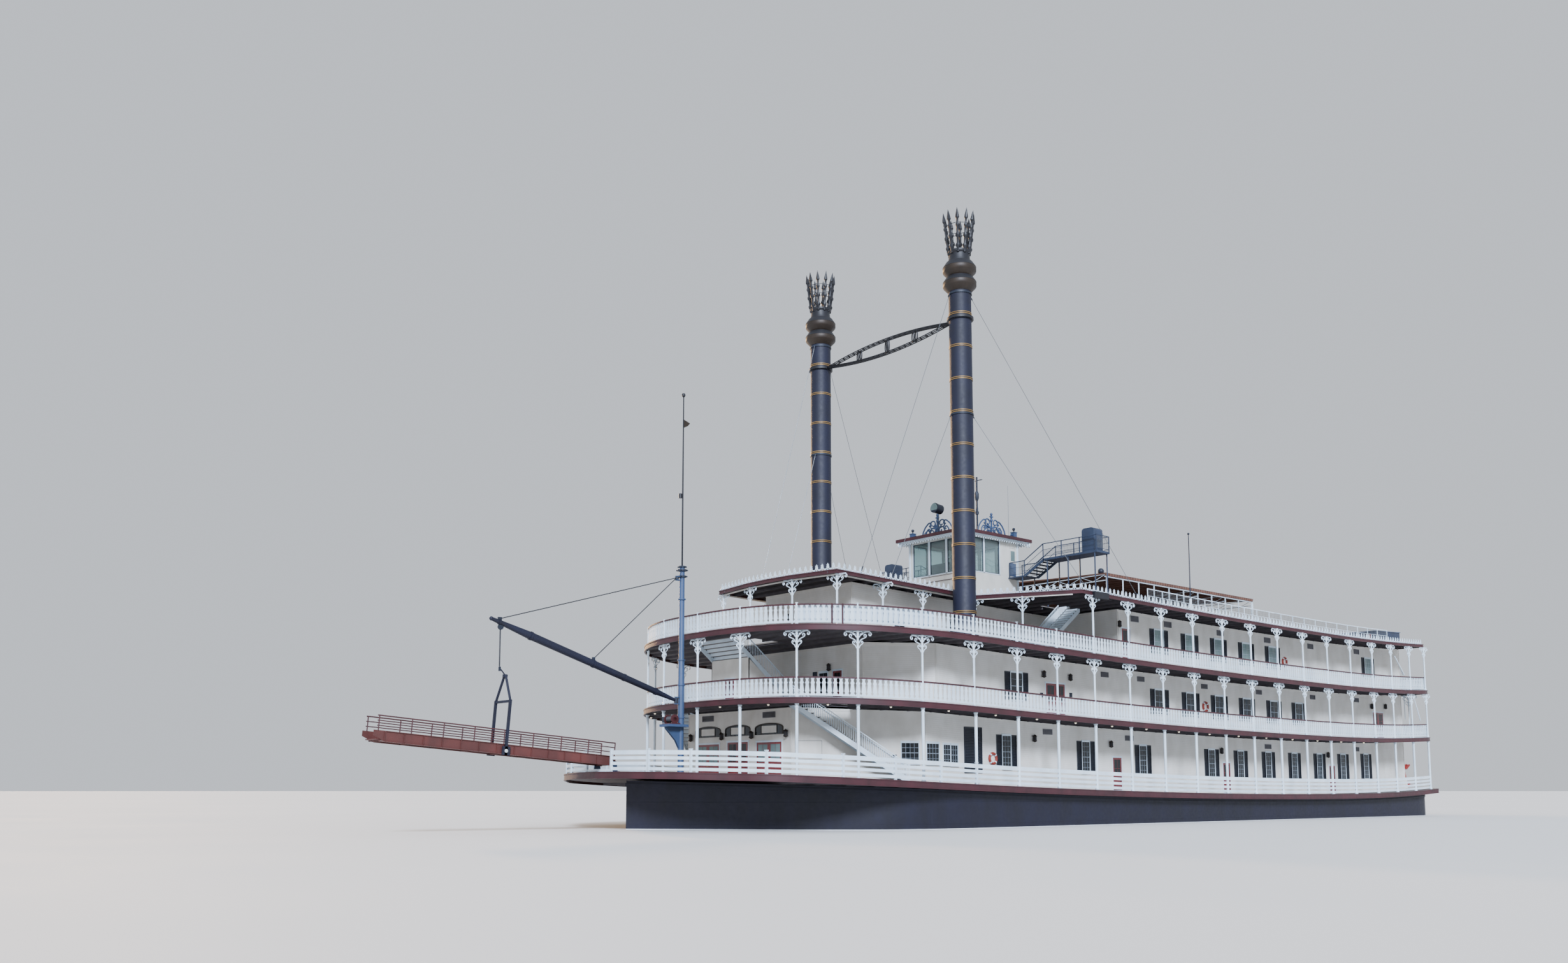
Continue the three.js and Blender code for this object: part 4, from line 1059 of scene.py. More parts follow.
@dataclass
class Flight:
    """One straight stair and the hole that it needs in the deck above.

    Attributes:
        name: The stair's name.
        start: Its foot in plan.
        end: Its head in plan.
        low: The storey that it stands in.
        high: The level that it reaches, amidships.
        width: Its width over the stringers.
        well: The length of its hole.
        boxed: Whether the space under it is closed.
    """

    name: str
    start: Span
    end: Span
    low: Storey
    high: float
    width: float
    well: float
    boxed: bool = False

    @property
    def along(self) -> Vector:
        """The flight's heading in plan."""
        return (Vector(self.end) - Vector(self.start)).normalized()

    def hole(self, ease: float = 8) -> Path:
        """Gives the stairwell's outline, wider than the flight by an ease on each side."""
        side = Vector((-self.along.y, self.along.x)) * (self.width / 2 + ease)
        end, back = Vector(self.end) + self.along, Vector(self.end) - self.along * self.well
        return [tuple(corner) for corner in (back - side, end - side, end + side, back + side)]


def beside_cheek(distance: float, out: float) -> tuple[float, float]:
    """Gives a point beside the port cheek of the main house.

    Args:
        distance: How far along the cheek it lies, from its after end.
        out: How far out from the cheek.

    Returns:
        The point in plan.
    """
    start, end = Vector((3090, 920)), Vector((3685, 475))
    along = (end - start).normalized()
    at = start + along * distance + Vector((-along.y, along.x)) * out
    return (at.x, at.y)


MAIN_STAIR = Flight("main_stair", beside_cheek(100, 66), beside_cheek(760, 66), MAIN, BOILER.floor, 110, 340)
BOILER_STAIR = Flight("boiler_stair", (3375, 0), (3890, 0), BOILER, TEXAS.floor, 352, 400, boxed=True)
TEXAS_STAIR = Flight("texas_stair", (1830, 650), (1345, 650), TEXAS, ROOF_LEVEL, 110, 330)


@dataclass
class Deck:
    """One deck: planked top, dark red fascia with its mouldings, and a joisted underside.

    Attributes:
        name: The node that it replaces.
        low: The underside of its fascia amidships.
        top: Its top amidships.
        half: The port half of its outline.
        wells: The holes for its stairs.
        covering: The finish of its top.
        also: Further nodes that it replaces.
    """

    name: str
    low: float
    top: float
    half: Path
    wells: list[Path]
    covering: Finish = DECKING
    also: tuple[str, ...] = ()

    BEAM_PITCH = 122
    BEAMS = range(-23, 33)          # the beams' places along the boat, in pitches
    WELL_EASE = 3

    def build(self) -> None:
        """Makes the deck's pieces."""
        kit = Kit(self.name)
        edge = both_sides(self.half)
        inner, lip = offset(edge, 7, True), offset(edge, -2.5, True)
        band = kit.of(OXBLOOD).plate(edge, (self.low, self.top - 0.5), [inner])
        for z in ((self.low - 0.5, self.low + 5), (self.top - 6, self.top)):
            band.plate(lip, z, [inner])
        band.follow_sheer()
        kit.of(self.covering).plate(inner, (self.top - 8, self.top), self.wells).follow_sheer()
        # The underside and its beams take the painted-shade grey-brown.
        kit.of(UNDERSIDE_PAINTED_SHADE).plate(inner, (self.low + 15, self.low + 18), self.wells).follow_sheer()
        kit.of(UNDERSIDE_PAINTED_SHADE).join(self.beams())
        kit.done(self.name, *self.also)

    def beams(self) -> Form:
        """Makes the deck beams across the underside, cut short at the stairwells."""
        form = Form()
        for x in (k * self.BEAM_PITCH for k in self.BEAMS):
            reach = max((y0 + (y1 - y0) * (x - x0) / (x1 - x0) for (x0, y0), (x1, y1)
                         in zip(self.half, self.half[1:]) if x0 != x1 and min(x0, x1) <= x <= max(x0, x1)),
                        default=0)
            if reach < 60:
                continue
            spans = [(10 - reach, reach - 10)]
            for well in self.wells:
                xs, ys = zip(*well)
                if min(xs) - self.WELL_EASE < x < max(xs) + self.WELL_EASE:
                    low, high = min(ys) - self.WELL_EASE, max(ys) + self.WELL_EASE
                    parts = [part for a, b in spans for part in ((a, min(b, low)), (max(a, high), b))]
                    spans = [(a, b) for a, b in parts if b - a > 20]
            for span in spans:
                form.box((x - 2.5, x + 2.5), span, (self.low + sheer(x), self.low + 16 + sheer(x)))
        return form


class Decks:
    """All the decks."""

    def build(self) -> None:
        """Makes every deck with its stairwells."""
        main_half = smooth(MAIN_DECK_BOW, 4) + [(-2860, 1185), (-2930, 1100)]
        Deck("main_deck", 359, MAIN.floor, main_half, [], also=("fore_deck",)).build()
        main_wells, roof_wells = ([flight.hole(), mirrored(flight.hole())]
                                  for flight in (MAIN_STAIR, TEXAS_STAIR))
        Deck("boiler_deck", MAIN.under, BOILER.floor, upper_deck_half(0), main_wells).build()
        Deck("texas_deck", BOILER.under, TEXAS.floor, upper_deck_half(0), [BOILER_STAIR.hole()]).build()
        Deck("hurricane_roof", TEXAS.under, ROOF_LEVEL, ROOF_HALF, roof_wells, covering=ROOFING).build()


def handed(side: int, near: float, far: float, middle: float = 0.0) -> Span:
    """Gives the limits between two distances from a middle, on one side of it.

    Args:
        side: 1 or -1.
        near: One distance.
        far: The other.
        middle: What they are measured from.

    Returns:
        The lower and the upper limit.
    """
    low, high = sorted((middle + side * near, middle + side * far))
    return low, high


def circle(radius: float, count: int) -> Path:
    """Spaces points evenly round a circle.

    Args:
        radius: The circle's radius.
        count: The number of points.

    Returns:
        The points.
    """
    return [(radius * math.cos(t), radius * math.sin(t)) for t in np.linspace(0, 2 * math.pi, count + 1)[:-1]]


@dataclass
class Gallery:
    """The columns, brackets and balustrade round one upper deck.

    Attributes:
        storey: The deck that it stands on.
        tall_from: Columns ahead of this stop at the rail.
        pitch: The balusters' spacing.
        rail: The height of the rail's top.
    """

    storey: Storey
    tall_from: float
    pitch: float = 30.4
    rail: float = 112

    INSET = 20                      # of the rail and the columns from the deck's edge
    BOW_ANGLES = (-68.2, -49.2, -30.5, -12, 0, 12, 30.5, 49.2, 68.2)
    STERN_X = (-2160, -2490, -2770)
    STERN_Y = (-960, -320, 320, 960)
    GATE = (41.5, 44.7)             # degrees round the bow of the gate's posts

    # A baluster's half width in pitches, at shares of its height
    BALUSTER = [(0, .44), (.05, .42), (.09, .29), (.14, .29), (.19, .41), (.62, .26), (.68, .31),
                (.72, .38), (.76, .31), (.82, .22), (.93, .22), (.97, .33), (1, .36)]

    # Each scroll of a bracket: its thickness, and its line out from the column and down from the beam
    SCROLLS = (
        (3.0, [(7, -36), (18, -20), (35, -9), (54, -5), (69, -9), (73, -19), (67, -27), (60, -22),
               (63, -15)]),
        (2.8, [(7, -66), (16, -50), (30, -42), (42, -36), (46, -27), (40, -19), (33, -24), (36, -31)]),
        (2.5, [(7, -94), (13, -80), (23, -73), (28, -64), (24, -56), (18, -60), (20, -66)]),
        (2.3, [(7, -6), (16, -5), (25, -9), (25, -19), (17, -22), (14, -15)]))

    def path(self) -> Path:
        """Gives the line of the rail, from the port side of the stern round the bow."""
        half = upper_deck_half(self.INSET)
        return half[::-1] + mirrored(half)[1:]

    def columns(self) -> list[tuple[float, float, float]]:
        """Gives each column's x, y and the heading of the rail there."""
        rows = [(x, hand * COLUMN_LINE, 0.0) for x in self.side_columns() for hand in (1, -1)]
        for degrees in (-SHOULDER, *self.BOW_ANGLES, SHOULDER):
            (x0, y0), (x1, y1) = (bow_point(degrees + step, self.INSET) for step in (-1, 1))
            rows.append((*bow_point(degrees, self.INSET), math.atan2(y1 - y0, x1 - x0)))
        return rows + [(STERN + self.INSET, y, math.pi / 2) for y in self.STERN_Y]

    @classmethod
    def side_columns(cls) -> list[float]:
        """Gives X of each column along the straight side."""
        return [FIRST_COLUMN - i * COLUMN_PITCH for i in range(SIDE_COLUMNS)] + list(cls.STERN_X)

    def is_tall(self, x: float) -> bool:
        """Says whether a column reaches the deck above."""
        return x < self.tall_from and (self.storey is BOILER or x > STERN + 2 * self.INSET)

    @staticmethod
    def column(storey: Storey) -> Form:
        """Turns one column of a storey with its base and cap."""
        r, h = storey.column, storey.under - storey.floor
        return Form().turned([
            (0, 0.3), (r + 4, 0.3), (r + 4, 8), (r + 1.5, 11), (r + 1, 16), (r, 20), (r, h - 24),
            (r + 2, h - 22), (r + 2, h - 18), (r, h - 16), (r + 1, h - 8), (r + 4, h - 4), (r + 4, h - 0.3),
            (0, h - 0.3)], sides=12)

    def newel(self) -> Form:
        """Turns one rail post with its ball."""
        r, h = self.storey.column, self.rail + 2
        return Form().turned([
            (0, 0.3), (r + 3, 0.3), (r + 3, 8), (r, 11), (r, h), (r + 2, h + 1), (r + 2, h + 4),
            (r - 2, h + 5), (0, h + 6)], sides=10)

    def baluster(self) -> Form:
        """Saws one flat baluster to its profile."""
        low, high = 16, self.rail - 8
        edge = [(share * self.pitch, low + t * (high - low)) for t, share in self.BALUSTER]
        return Form().plate(edge + [(-u, w) for u, w in reversed(edge)], (-1.5, 1.5), frame=UPENDED)

    @classmethod
    def bracket(cls) -> Form:
        """Bends one bracket: four scrolls under a straight bar."""
        form = Form()
        for thick, line in cls.SCROLLS:
            form.tube([(u, 0, w) for u, w in smooth(line, 2)], thick, 4)
        return form.bar((6, 0, -2), (66, 0, -2), 4, 3)

    def balustrade(self, kit: Kit) -> None:
        """Adds the rails and the balusters between them."""
        floor, path = self.storey.floor, self.path()
        kit.of(WHITE).repeat(self.baluster(), [
            standing(x, y, self.storey.base(x), heading)
            for x, y, heading in stations([*path, path[0]], self.pitch, self.pitch / 2)])
        for finish, width, low, high in ((WHITE, 5, 9, 16.2), (WHITE, 9, 0.3, 3),
                                         (OXBLOOD, 10, self.rail - 8, self.rail)):
            kit.of(finish).band(path, width, (floor + low, floor + high), True)

    def screens(self, kit: Kit) -> None:
        """Backs the rail with a white screen at each side of the bow, with two posts of a gate."""
        floor = self.storey.floor
        arc = [bow_point(degrees, 34) for degrees in range(30, 73, 6)]
        for hand in (1, -1):
            line = [(x, hand * y) for x, y in arc]
            kit.of(WHITE).band(line, 3, (floor + 12, floor + self.rail - 9))
            for x, y in (bow_point(degrees, 14) for degrees in self.GATE):
                base = self.storey.base(x)
                kit.of(OXBLOOD).rod((x, hand * y, base), (x, hand * y, base + self.rail), 4.5)

    def build(self, *replaced: str) -> None:
        """Makes the gallery.

        Args:
            *replaced: The CAD nodes that it stands for.
        """
        storey = self.storey
        kit, columns = Kit(f"{storey.name}_gallery"), self.columns()
        self.balustrade(kit)
        tall = [row for row in columns if self.is_tall(row[0])]
        short = [row for row in columns if not self.is_tall(row[0])]
        for rows, form in ((tall, self.column(storey)), (short, self.newel())):
            kit.of(WHITE).repeat(form, [standing(x, y, storey.base(x)) for x, y, _ in rows])
        if storey is TEXAS:
            self.screens(kit)
        kit.done(*replaced)
        scrolls = Kit(f"{storey.name}_brackets")
        scrolls.of(WHITE).repeat(self.bracket(), [
            standing(x, y, storey.ceiling(x), heading + turn)
            for x, y, heading in tall for turn in (0, math.pi)])
        scrolls.done()


class BowFence:
    """The four-board fence round the main deck, and the columns inside it."""

    BOARDS = ((8, 24, 5), (36, 52, 5), (64, 80, 5), (90, 112, 7))      # each board's foot, head and thickness
    STEM = [(4636, 120), (4648, 40), (4648, 0)]
    POSTS = [(4636, 120), (4575, 375), (4470, 600), (4240, 925), (3880, 1100), (3560, 1156), (3230, 1172),
             (2928, COLUMN_LINE)]
    SHOULDERS = (2906, 1141)

    def build(self) -> None:
        """Makes the fence and the main deck's columns."""
        kit, columns = Kit("fence"), Kit("main_columns")
        wood, floor = kit.of(WHITE), MAIN.floor
        line = smooth(self.POSTS[:-1], 4) + [self.POSTS[-1], (-2770, COLUMN_LINE)]
        for low, high, thick in self.BOARDS:
            wood.band(line, thick, (floor + low, floor + high))
        wood.band(self.STEM, 5, (floor + 0.5, floor + 14))
        post = Form().box((-6, 6), (-6, 6), (0.5, 117)).box((-8, 8), (-8, 8), (117, 121))
        wood.repeat(post, [standing(x, y, MAIN.base(x)) for x, y in self.POSTS])
        kit.mirror().done("bow_fence")
        spots = [(x, COLUMN_LINE) for x in Gallery.side_columns()] + [self.SHOULDERS]
        spots += mirrored(spots) + [bow_point(degrees, Gallery.INSET) for degrees in Gallery.BOW_ANGLES]
        columns.of(WHITE).repeat(Gallery.column(MAIN), [standing(x, y, MAIN.base(x)) for x, y in spots])
        columns.done("main_deck_port_columns", "main_deck_starboard_columns", "main_deck_bow_columns")


@dataclass(frozen=True)
class Facade:
    """The outer face of a straight wall; its frame has X along the wall, Y outward and Z up.

    Attributes:
        start: The point that distances along the wall are measured from.
        toward: A further point of the wall.
        floor: The level amidships of the deck that it stands on.
    """

    start: Span
    toward: Span
    floor: float

    def at(self, along: float, height: float = 0.0) -> Matrix:
        """Gives the frame of a point of the wall.

        Args:
            along: Its distance along the wall.
            height: Its height above the deck there.

        Returns:
            The frame.
        """
        run = (Vector(self.toward) - Vector(self.start)).normalized()
        foot = Vector(self.start) + run * along
        turn = Matrix(((run.x, -run.y, 0), (run.y, run.x, 0), (0, 0, 1))).to_4x4()
        return Matrix.Translation((foot.x, foot.y, self.floor + sheer(foot.x) + height)) @ turn


def louvres(form: Form, u: Span, w: Span, pitch: float = 6.5, frame: Matrix = UPRIGHT) -> None:
    """Adds a louvred leaf: a back, two stiles, two rails and slanted slats.

    Args:
        form: The form that it joins.
        u: Its sides along the wall.
        w: Its foot and head.
        pitch: The spacing of the slats.
        frame: The wall's frame.
    """
    form.box(u, (-1, 0.8), w, frame)
    for low, high in ((u[0], u[0] + 4), (u[1] - 4, u[1])):
        form.box((low, high), (0.8, 4), w, frame)
    for low, high in ((w[0], w[0] + 5), (w[1] - 5, w[1])):
        form.box((u[0] + 4, u[1] - 4), (0.8, 3.8), (low, high), frame)
    slats = int((w[1] - w[0] - 12) / pitch)
    for k in range(slats):
        tilt = frame @ Matrix.Translation((0, 1.8, w[0] + 9 + k * pitch)) @ Matrix.Rotation(0.7, 4, "X")
        form.box((u[0] + 4, u[1] - 4), (-2.4, 2.2), (-0.5, 0.5), tilt)


@dataclass(frozen=True)
class Window:
    """A sash window: casing, glass, sash bars and, on some, louvred shutters.

    Attributes:
        width: The width of the glass.
        sill: The height of its foot.
        head: The height of its head.
        across: The panes in a row.
        up: The rows of panes.
        shutter: The width of each shutter.
        glass: The finish of the glass.
    """

    width: float
    sill: float
    head: float
    across: int = 2
    up: int = 2
    shutter: float = 0.0
    glass: Finish = PANE

    def kit(self) -> Kit:
        """Makes the window round an origin on the wall's face, at the deck."""
        kit, half = Kit("window"), self.width / 2
        kit.of(self.glass).box((-half, half), (-1, 0.8), (self.sill, self.head))
        wood = kit.of(WHITE)
        for side in (-1, 1):
            wood.box(handed(side, half, half + 5), (-1, 4), (self.sill - 4, self.head + 5))
            if self.shutter:
                louvres(kit.of(SHUTTER), handed(side, half + 6, half + 6 + self.shutter),
                        (self.sill - 2, self.head + 3))
        for proud, deep, z in ((8, 7, (self.sill - 8, self.sill - 4)), (5, 5, (self.head + 5, self.head + 9)),
                               (0, 2.4, (self.head - 3, self.head + 5))):
            wood.box((-half - proud, half + proud), (-1, deep), z)
        for k in range(1, self.across):
            u = -half + self.width * k / self.across
            kit.of(SASH_GREY).box((u - 0.7, u + 0.7), (-1, 1.8), (self.sill, self.head))
        for k in range(1, self.up):
            w = self.sill + (self.head - self.sill) * k / self.up
            thick = 1.5 if 2 * k == self.up else 0.7
            kit.of(SASH_GREY).box((-half, half), (-1, 1.9), (w - thick, w + thick))
        return kit


@dataclass(frozen=True)
class Door:
    """A panelled door with a glazed upper half, and its casing.

    Attributes:
        width: The width of the opening.
        height: Its height over the sill.
        sill: The sill's height.
        leaves: The number of leaves.
        glass: The finish of the glass.
        backed: Whether the leaf has its own back, and not a solid behind it.
    """

    width: float
    height: float = 208
    sill: float = 10
    leaves: int = 1
    glass: Finish = PANE
    backed: bool = True

    def leaf(self, kit: Kit, u: Span, knob: int) -> None:
        """Adds one leaf's stiles, rails, panel, glass and knob.

        Args:
            u: Its edges along the wall.
            knob: Which edge carries the knob, -1 or 1.
        """
        low, high = self.sill, self.sill + self.height
        split, edge = low + self.height * 0.42, min(13, (u[1] - u[0]) * 0.17)
        left, right, middle = u[0] + edge, u[1] - edge, (u[0] + u[1]) / 2
        wood = kit.of(DOOR_RED)
        if self.backed:
            wood.box(u, (-1, 0.6), (low, high))
        for stile in ((u[0], left), (right, u[1])):
            wood.box(stile, (0.2, 1.9), (low, high))
        for rail in ((low, low + 17), (split - 6, split + 6), (high - 12, high)):
            wood.box((left, right), (0.2, 1.8), rail)
        wood.box((left + 5, right - 5), (0.2, 1.4), (low + 22, split - 11))
        kit.of(self.glass).box((left, right), (0.1, 1), (split + 6, high - 12))
        wood.box((middle - 0.9, middle + 0.9), (0.2, 1.6), (split + 6, high - 12))
        wood.box((left, right), (0.2, 1.6), (split + 50, split + 52))
        kit.of(GOLD).ball((u[1] - 4 if knob > 0 else u[0] + 4, 3.2, split - 12), 2.2, 5)

    def kit(self) -> Kit:
        """Makes the door round an origin on the wall's face, at the deck."""
        kit, half = Kit("door"), self.width / 2
        leaves = ((-half, half, 1),) if self.leaves == 1 else ((-half, -0.4, 1), (0.4, half, -1))
        for left, right, knob in leaves:
            self.leaf(kit, (left, right), knob)
        return self.case(kit)

    def case(self, kit: Kit, ease: float = 0.0) -> Kit:
        """Adds the casing and the step.

        Args:
            ease: How far the casing stands clear of the opening.
        """
        half, high = self.width / 2 + ease, self.sill + self.height + ease
        wood = kit.of(WHITE)
        for side in (-1, 1):
            wood.box(handed(side, half, half + 6), (-1, 2.6), (0.5, high + 6))
        for proud, deep, z in ((9, 4.5, (high + 6, high + 10)), (0, 2.6, (high, high + 6)),
                               (0, 3, (0.5, self.sill - 1.5))):
            wood.box((-half - proud, half + proud), (-1, deep), z)
        return kit


def lantern() -> Kit:
    """Makes a dark wall lantern round its bracket's foot."""
    kit, at = Kit("lantern"), (0, 14)
    case = [(0, -22), (5, -20), (14, -14), (14, -11), (11, -11), (11, 13), (15, 14), (8, 22), (2, 25),
            (0, 29)]
    kit.of(BRONZE).box((-2, 2), (-1, 9), (-2, 2)).turned(case, at, 8)
    kit.of(DARK_STEEL).collar(11.4, (-11, 12), at, 6)
    return kit


def lifebuoy() -> Kit:
    """Makes a lifebuoy with four white bands that hangs flat on a wall, round its middle."""
    kit, radius, thick, reach = Kit("lifebuoy"), 30, 8, 0.13
    kit.of(BUOY).tube([(u, 6, w) for u, w in circle(radius, 28)], thick, 8, closed=True)
    for k in range(4):
        middle = math.pi / 4 + k * math.pi / 2
        kit.of(WHITE).tube([(radius * math.cos(t), 6, radius * math.sin(t))
                            for t in np.linspace(middle - reach, middle + reach, 4)], thick + 0.4, 8)
    return kit


def transom(width: float) -> Kit:
    """Makes an arched overdoor light with a dark frame, two bars and a blank pale field."""
    kit, half, rise, spring = Kit("transom"), width / 2, 26.0, 40.0
    arch = [(half * math.cos(t), spring + rise * math.sin(t)) for t in np.linspace(0, math.pi, 13)]
    outline = [(-half, 0), (half, 0), *arch]
    inner = [(u * (half - 6) / half, 5 + (w - 5) * 0.9) for u, w in outline]
    kit.of(BRONZE).plate(outline, (-1, 4), [inner], UPENDED)
    kit.of(PANE).plate(inner, (-1, 1), frame=UPENDED)
    kit.of(PANEL).box((-half * 0.52, half * 0.52), (1, 2), (10, 50))
    for side in (-1, 1):
        kit.of(BRONZE).box((side * half * 0.56 - 1.5, side * half * 0.56 + 1.5), (-1, 3.2), (4, 56))
    return kit


def board(width: float, height: float, finish: Finish) -> Kit:
    """Makes a blank board with a rim, hung on a wall by its lower edge.

    Args:
        width: Its width.
        height: Its height.
        finish: Its face's finish.

    Returns:
        The board's kit.
    """
    kit, half = Kit("board"), width / 2
    kit.of(finish).box((-half, half), (-1, 2), (0, height))
    rim = kit.of(DARK_STEEL)
    for low, high in ((-1.5, 0), (height, height + 1.5)):
        rim.box((-half - 1.5, half + 1.5), (-1, 3), (low, high))
    for side in (-1, 1):
        rim.box(handed(side, half, half + 1.5), (-1, 3), (0, height))
    return kit


def vent(width: float, height: float) -> Kit:
    """Makes a dark louvred vent round its middle.

    Args:
        width: Its width.
        height: Its height.

    Returns:
        The vent's kit.
    """
    kit = Kit("vent")
    louvres(kit.of(VENT_GREY), (-width / 2, width / 2), (-height / 2, height / 2), 5.5)
    return kit


MAIN_FRONT, MAIN_CORNER, CHEEK_END = 3690, 477.5, 3091.7
BOILER_FRONT, TEXAS_FRONT = 3285, 3145
HOUSE_END = [(HOUSE_STERN, HOUSE_SIDE), (HOUSE_STERN, 0)]
MAIN_WALLS = [(MAIN_FRONT, 0), (MAIN_FRONT, MAIN_CORNER), (CHEEK_END, HOUSE_SIDE), *HOUSE_END]
BOILER_WALLS = [(BOILER_FRONT, 0), (BOILER_FRONT, 632), (2992, HOUSE_SIDE), *HOUSE_END]
TEXAS_WALLS = [(TEXAS_FRONT, 0), (TEXAS_FRONT, 395), (1243, 395), (1243, HOUSE_SIDE), *HOUSE_END]


def front_wall(storey: Storey, x: float) -> Facade:
    """Gives a wall across the boat that faces the bow.

    Args:
        storey: The deck that it stands on.
        x: Its distance ahead of amidships.

    Returns:
        The wall, measured from its middle to starboard.
    """
    return Facade((x, 0), (x, -1), storey.floor)


def side_wall(storey: Storey, hand: int = 1) -> Facade:
    """Gives a house's side wall.

    Args:
        storey: The deck that it stands on.
        hand: 1 to port and -1 to starboard.

    Returns:
        The wall, measured from amidships: forward to port and aft to starboard.
    """
    return Facade((0, hand * HOUSE_SIDE), (hand, hand * HOUSE_SIDE), storey.floor)


class Houses:
    """The three houses' windows, doors, lamps, vents and mouldings."""

    MAIN_SHUTTERED = (2390, 1620, 1000, 170, -213, -598, -980, -1365, -1746, -2136)
    BOILER_SHUTTERED = (2287, 787, 410, 45, -327, -710, -1080)
    TEXAS_SHUTTERED = (774, 399, 29, -345, -719, -2248)
    SIDE_DOOR = 1913                # middle of the boiler deck's hinged side doors
    LEAF = 92                       # width of a hinged leaf

    def mouldings(self) -> None:
        """Runs a skirting, a frieze and corner boards round each house."""
        for storey, walls in ((MAIN, MAIN_WALLS), (BOILER, BOILER_WALLS), (TEXAS, TEXAS_WALLS)):
            kit, loop = Kit(f"{storey.name}_mouldings"), both_sides(walls)
            inside, wood = [offset(loop, 1, True)], kit.of(PANEL)
            for low, high, proud in ((storey.floor - 2, storey.floor + 8.5, 2.4),
                                     (storey.under - 12, storey.under + 2, 2.2),
                                     (storey.under - 3, storey.under + 2, 5)):
                wood.join(Form().plate(offset(loop, -proud, True), (low, high), inside).follow_sheer())
            for x, y in walls[1:-1]:
                for side in (1, -1):
                    wood.rod((x, side * y, storey.base(x)), (x, side * y, storey.ceiling(x)), 4)
            kit.done()

    def main_front(self) -> None:
        """Fits the main house's front: three double doors, overdoor lights, lanterns and vents."""
        kit, wall, keel = Kit("main_front"), front_wall(MAIN, MAIN_FRONT), -MAIN.base(MAIN_FRONT)
        kit.hang(Door(220, 203, leaves=2, glass=GREEN_PANE).kit(), wall, 0, -286, 286)
        kit.hang(Door(188, leaves=2).case(Kit("casing"), ease=2), wall, 0, 0)
        kit.hang(transom(236), wall, 737 + keel, 0).hang(transom(250), wall, 737 + keel, -286, 286)
        kit.hang(lantern(), wall, 737 + keel, -140, 140, -445, 445)
        kit.hang(vent(110, 34), wall, 849 + keel, -286, 286).done()

    def main_cheeks(self) -> None:
        """Fits the angled cheeks: a dark window, a small sign and a blank poster board."""
        kit, wall = Kit("main_cheeks"), Facade(MAIN_WALLS[2], MAIN_WALLS[1], MAIN.floor)
        kit.hang(Window(96, 110, 226, 4, 4).kit(), wall, 0, 83)
        kit.hang(board(22, 26, DARK_STEEL), wall, 128, 171).hang(board(146, 100, PANEL), wall, 118, 651)
        kit.mirror().done()

    def main_sides(self) -> None:
        """Fits the main house's sides."""
        kit, wall = Kit("main_sides"), side_wall(MAIN)
        kit.hang(Window(99, 112, 228, 4, 4).kit(), wall, 0, 3028)
        kit.hang(Window(56, 112, 228, 3, 4).kit(), wall, 0, 2849, 2912)
        louvres(kit.of(SHUTTER), (2610, 2765), (70, 336), 9, wall.at(0, sheer(2690)))
        kit.hang(Window(76, 112, 308, 3, 6, 48).kit(), wall, 0, *self.MAIN_SHUTTERED)
        kit.hang(Door(92).kit(), wall, 0, 1290, -20, -1560)
        kit.hang(lifebuoy(), wall, 165, 2520)
        kit.hang(lantern(), wall, 300, 1365, 55, -1485, 2140)
        kit.hang(vent(90, 34), wall, 350, 2000, 1150, -600, -1980)
        kit.mirror().done()

    def boiler_front(self) -> None:
        """Fits the boiler deck house's front."""
        kit, wall = Kit("boiler_front"), front_wall(BOILER, BOILER_FRONT)
        kit.hang(Door(76, 206).kit(), wall, 0, -420, 420)
        kit.hang(Window(73, 95, 213).kit(), wall, 0, -300, 300)
        kit.hang(lantern(), wall, 238, -358, 358)
        kit.hang(board(34, 26, DARK_STEEL), wall, 195, -225).done()

    def boiler_sides(self) -> None:
        """Fits the boiler deck house's sides."""
        kit, wall, pair = Kit("boiler_sides"), side_wall(BOILER), Door(184, leaves=2)
        kit.hang(Window(105, 95, 260, 2, 4, 50).kit(), wall, 0, *self.BOILER_SHUTTERED)
        kit.hang(pair.case(Kit("casing"), ease=2), wall, 0, self.SIDE_DOOR)
        kit.hang(pair.kit(), wall, 0, -2385)
        kit.hang(lantern(), wall, 268, 2036, 1773, -2262, -2508)
        kit.hang(board(24, 24, DARK_STEEL), wall, 150, 1760).hang(board(24, 24, DARK_STEEL), wall, 130, 2050)
        kit.hang(lifebuoy(), wall, 175, 232)
        kit.hang(vent(80, 34), wall, 318, 1400, 1000, 232, -500, -1300, -2020)
        kit.mirror().done()

    def texas(self) -> None:
        """Fits the texas."""
        kit, wall = Kit("texas_walls"), side_wall(TEXAS)
        kit.hang(Window(105, 112, 274, 2, 4, 50, GREEN_PANE).kit(), wall, 0, *self.TEXAS_SHUTTERED)
        kit.hang(Door(93, 236).kit(), wall, 0, 1154)
        kit.hang(lantern(), wall, 268, 1236)
        kit.hang(vent(88, 40), wall, 322, 1050, 662, 0, -650, -1300, -2060)
        kit.hang(lifebuoy(), wall, 175, -887)
        inner = Facade(TEXAS_WALLS[2], TEXAS_WALLS[1], TEXAS.floor)
        kit.hang(Window(90, 110, 230).kit(), inner, 0, 400, 1000, 1500).mirror()
        kit.hang(lantern(), front_wall(TEXAS, TEXAS_FRONT), 206, -165, 165).done()

    def sterns(self) -> None:
        """Fits the stern walls of all three houses."""
        kit = Kit("stern_walls")
        for storey in (MAIN, BOILER, TEXAS):
            wall = Facade((HOUSE_STERN, 0), (HOUSE_STERN, 1), storey.floor)
            kit.hang(Door(92).kit(), wall, 0, -420, 420)
            kit.hang(Window(105, 110, 240, 2, 4).kit(), wall, 0, -760, 0, 760)
            kit.hang(lantern(), wall, 262, -340, 340)
        kit.done()

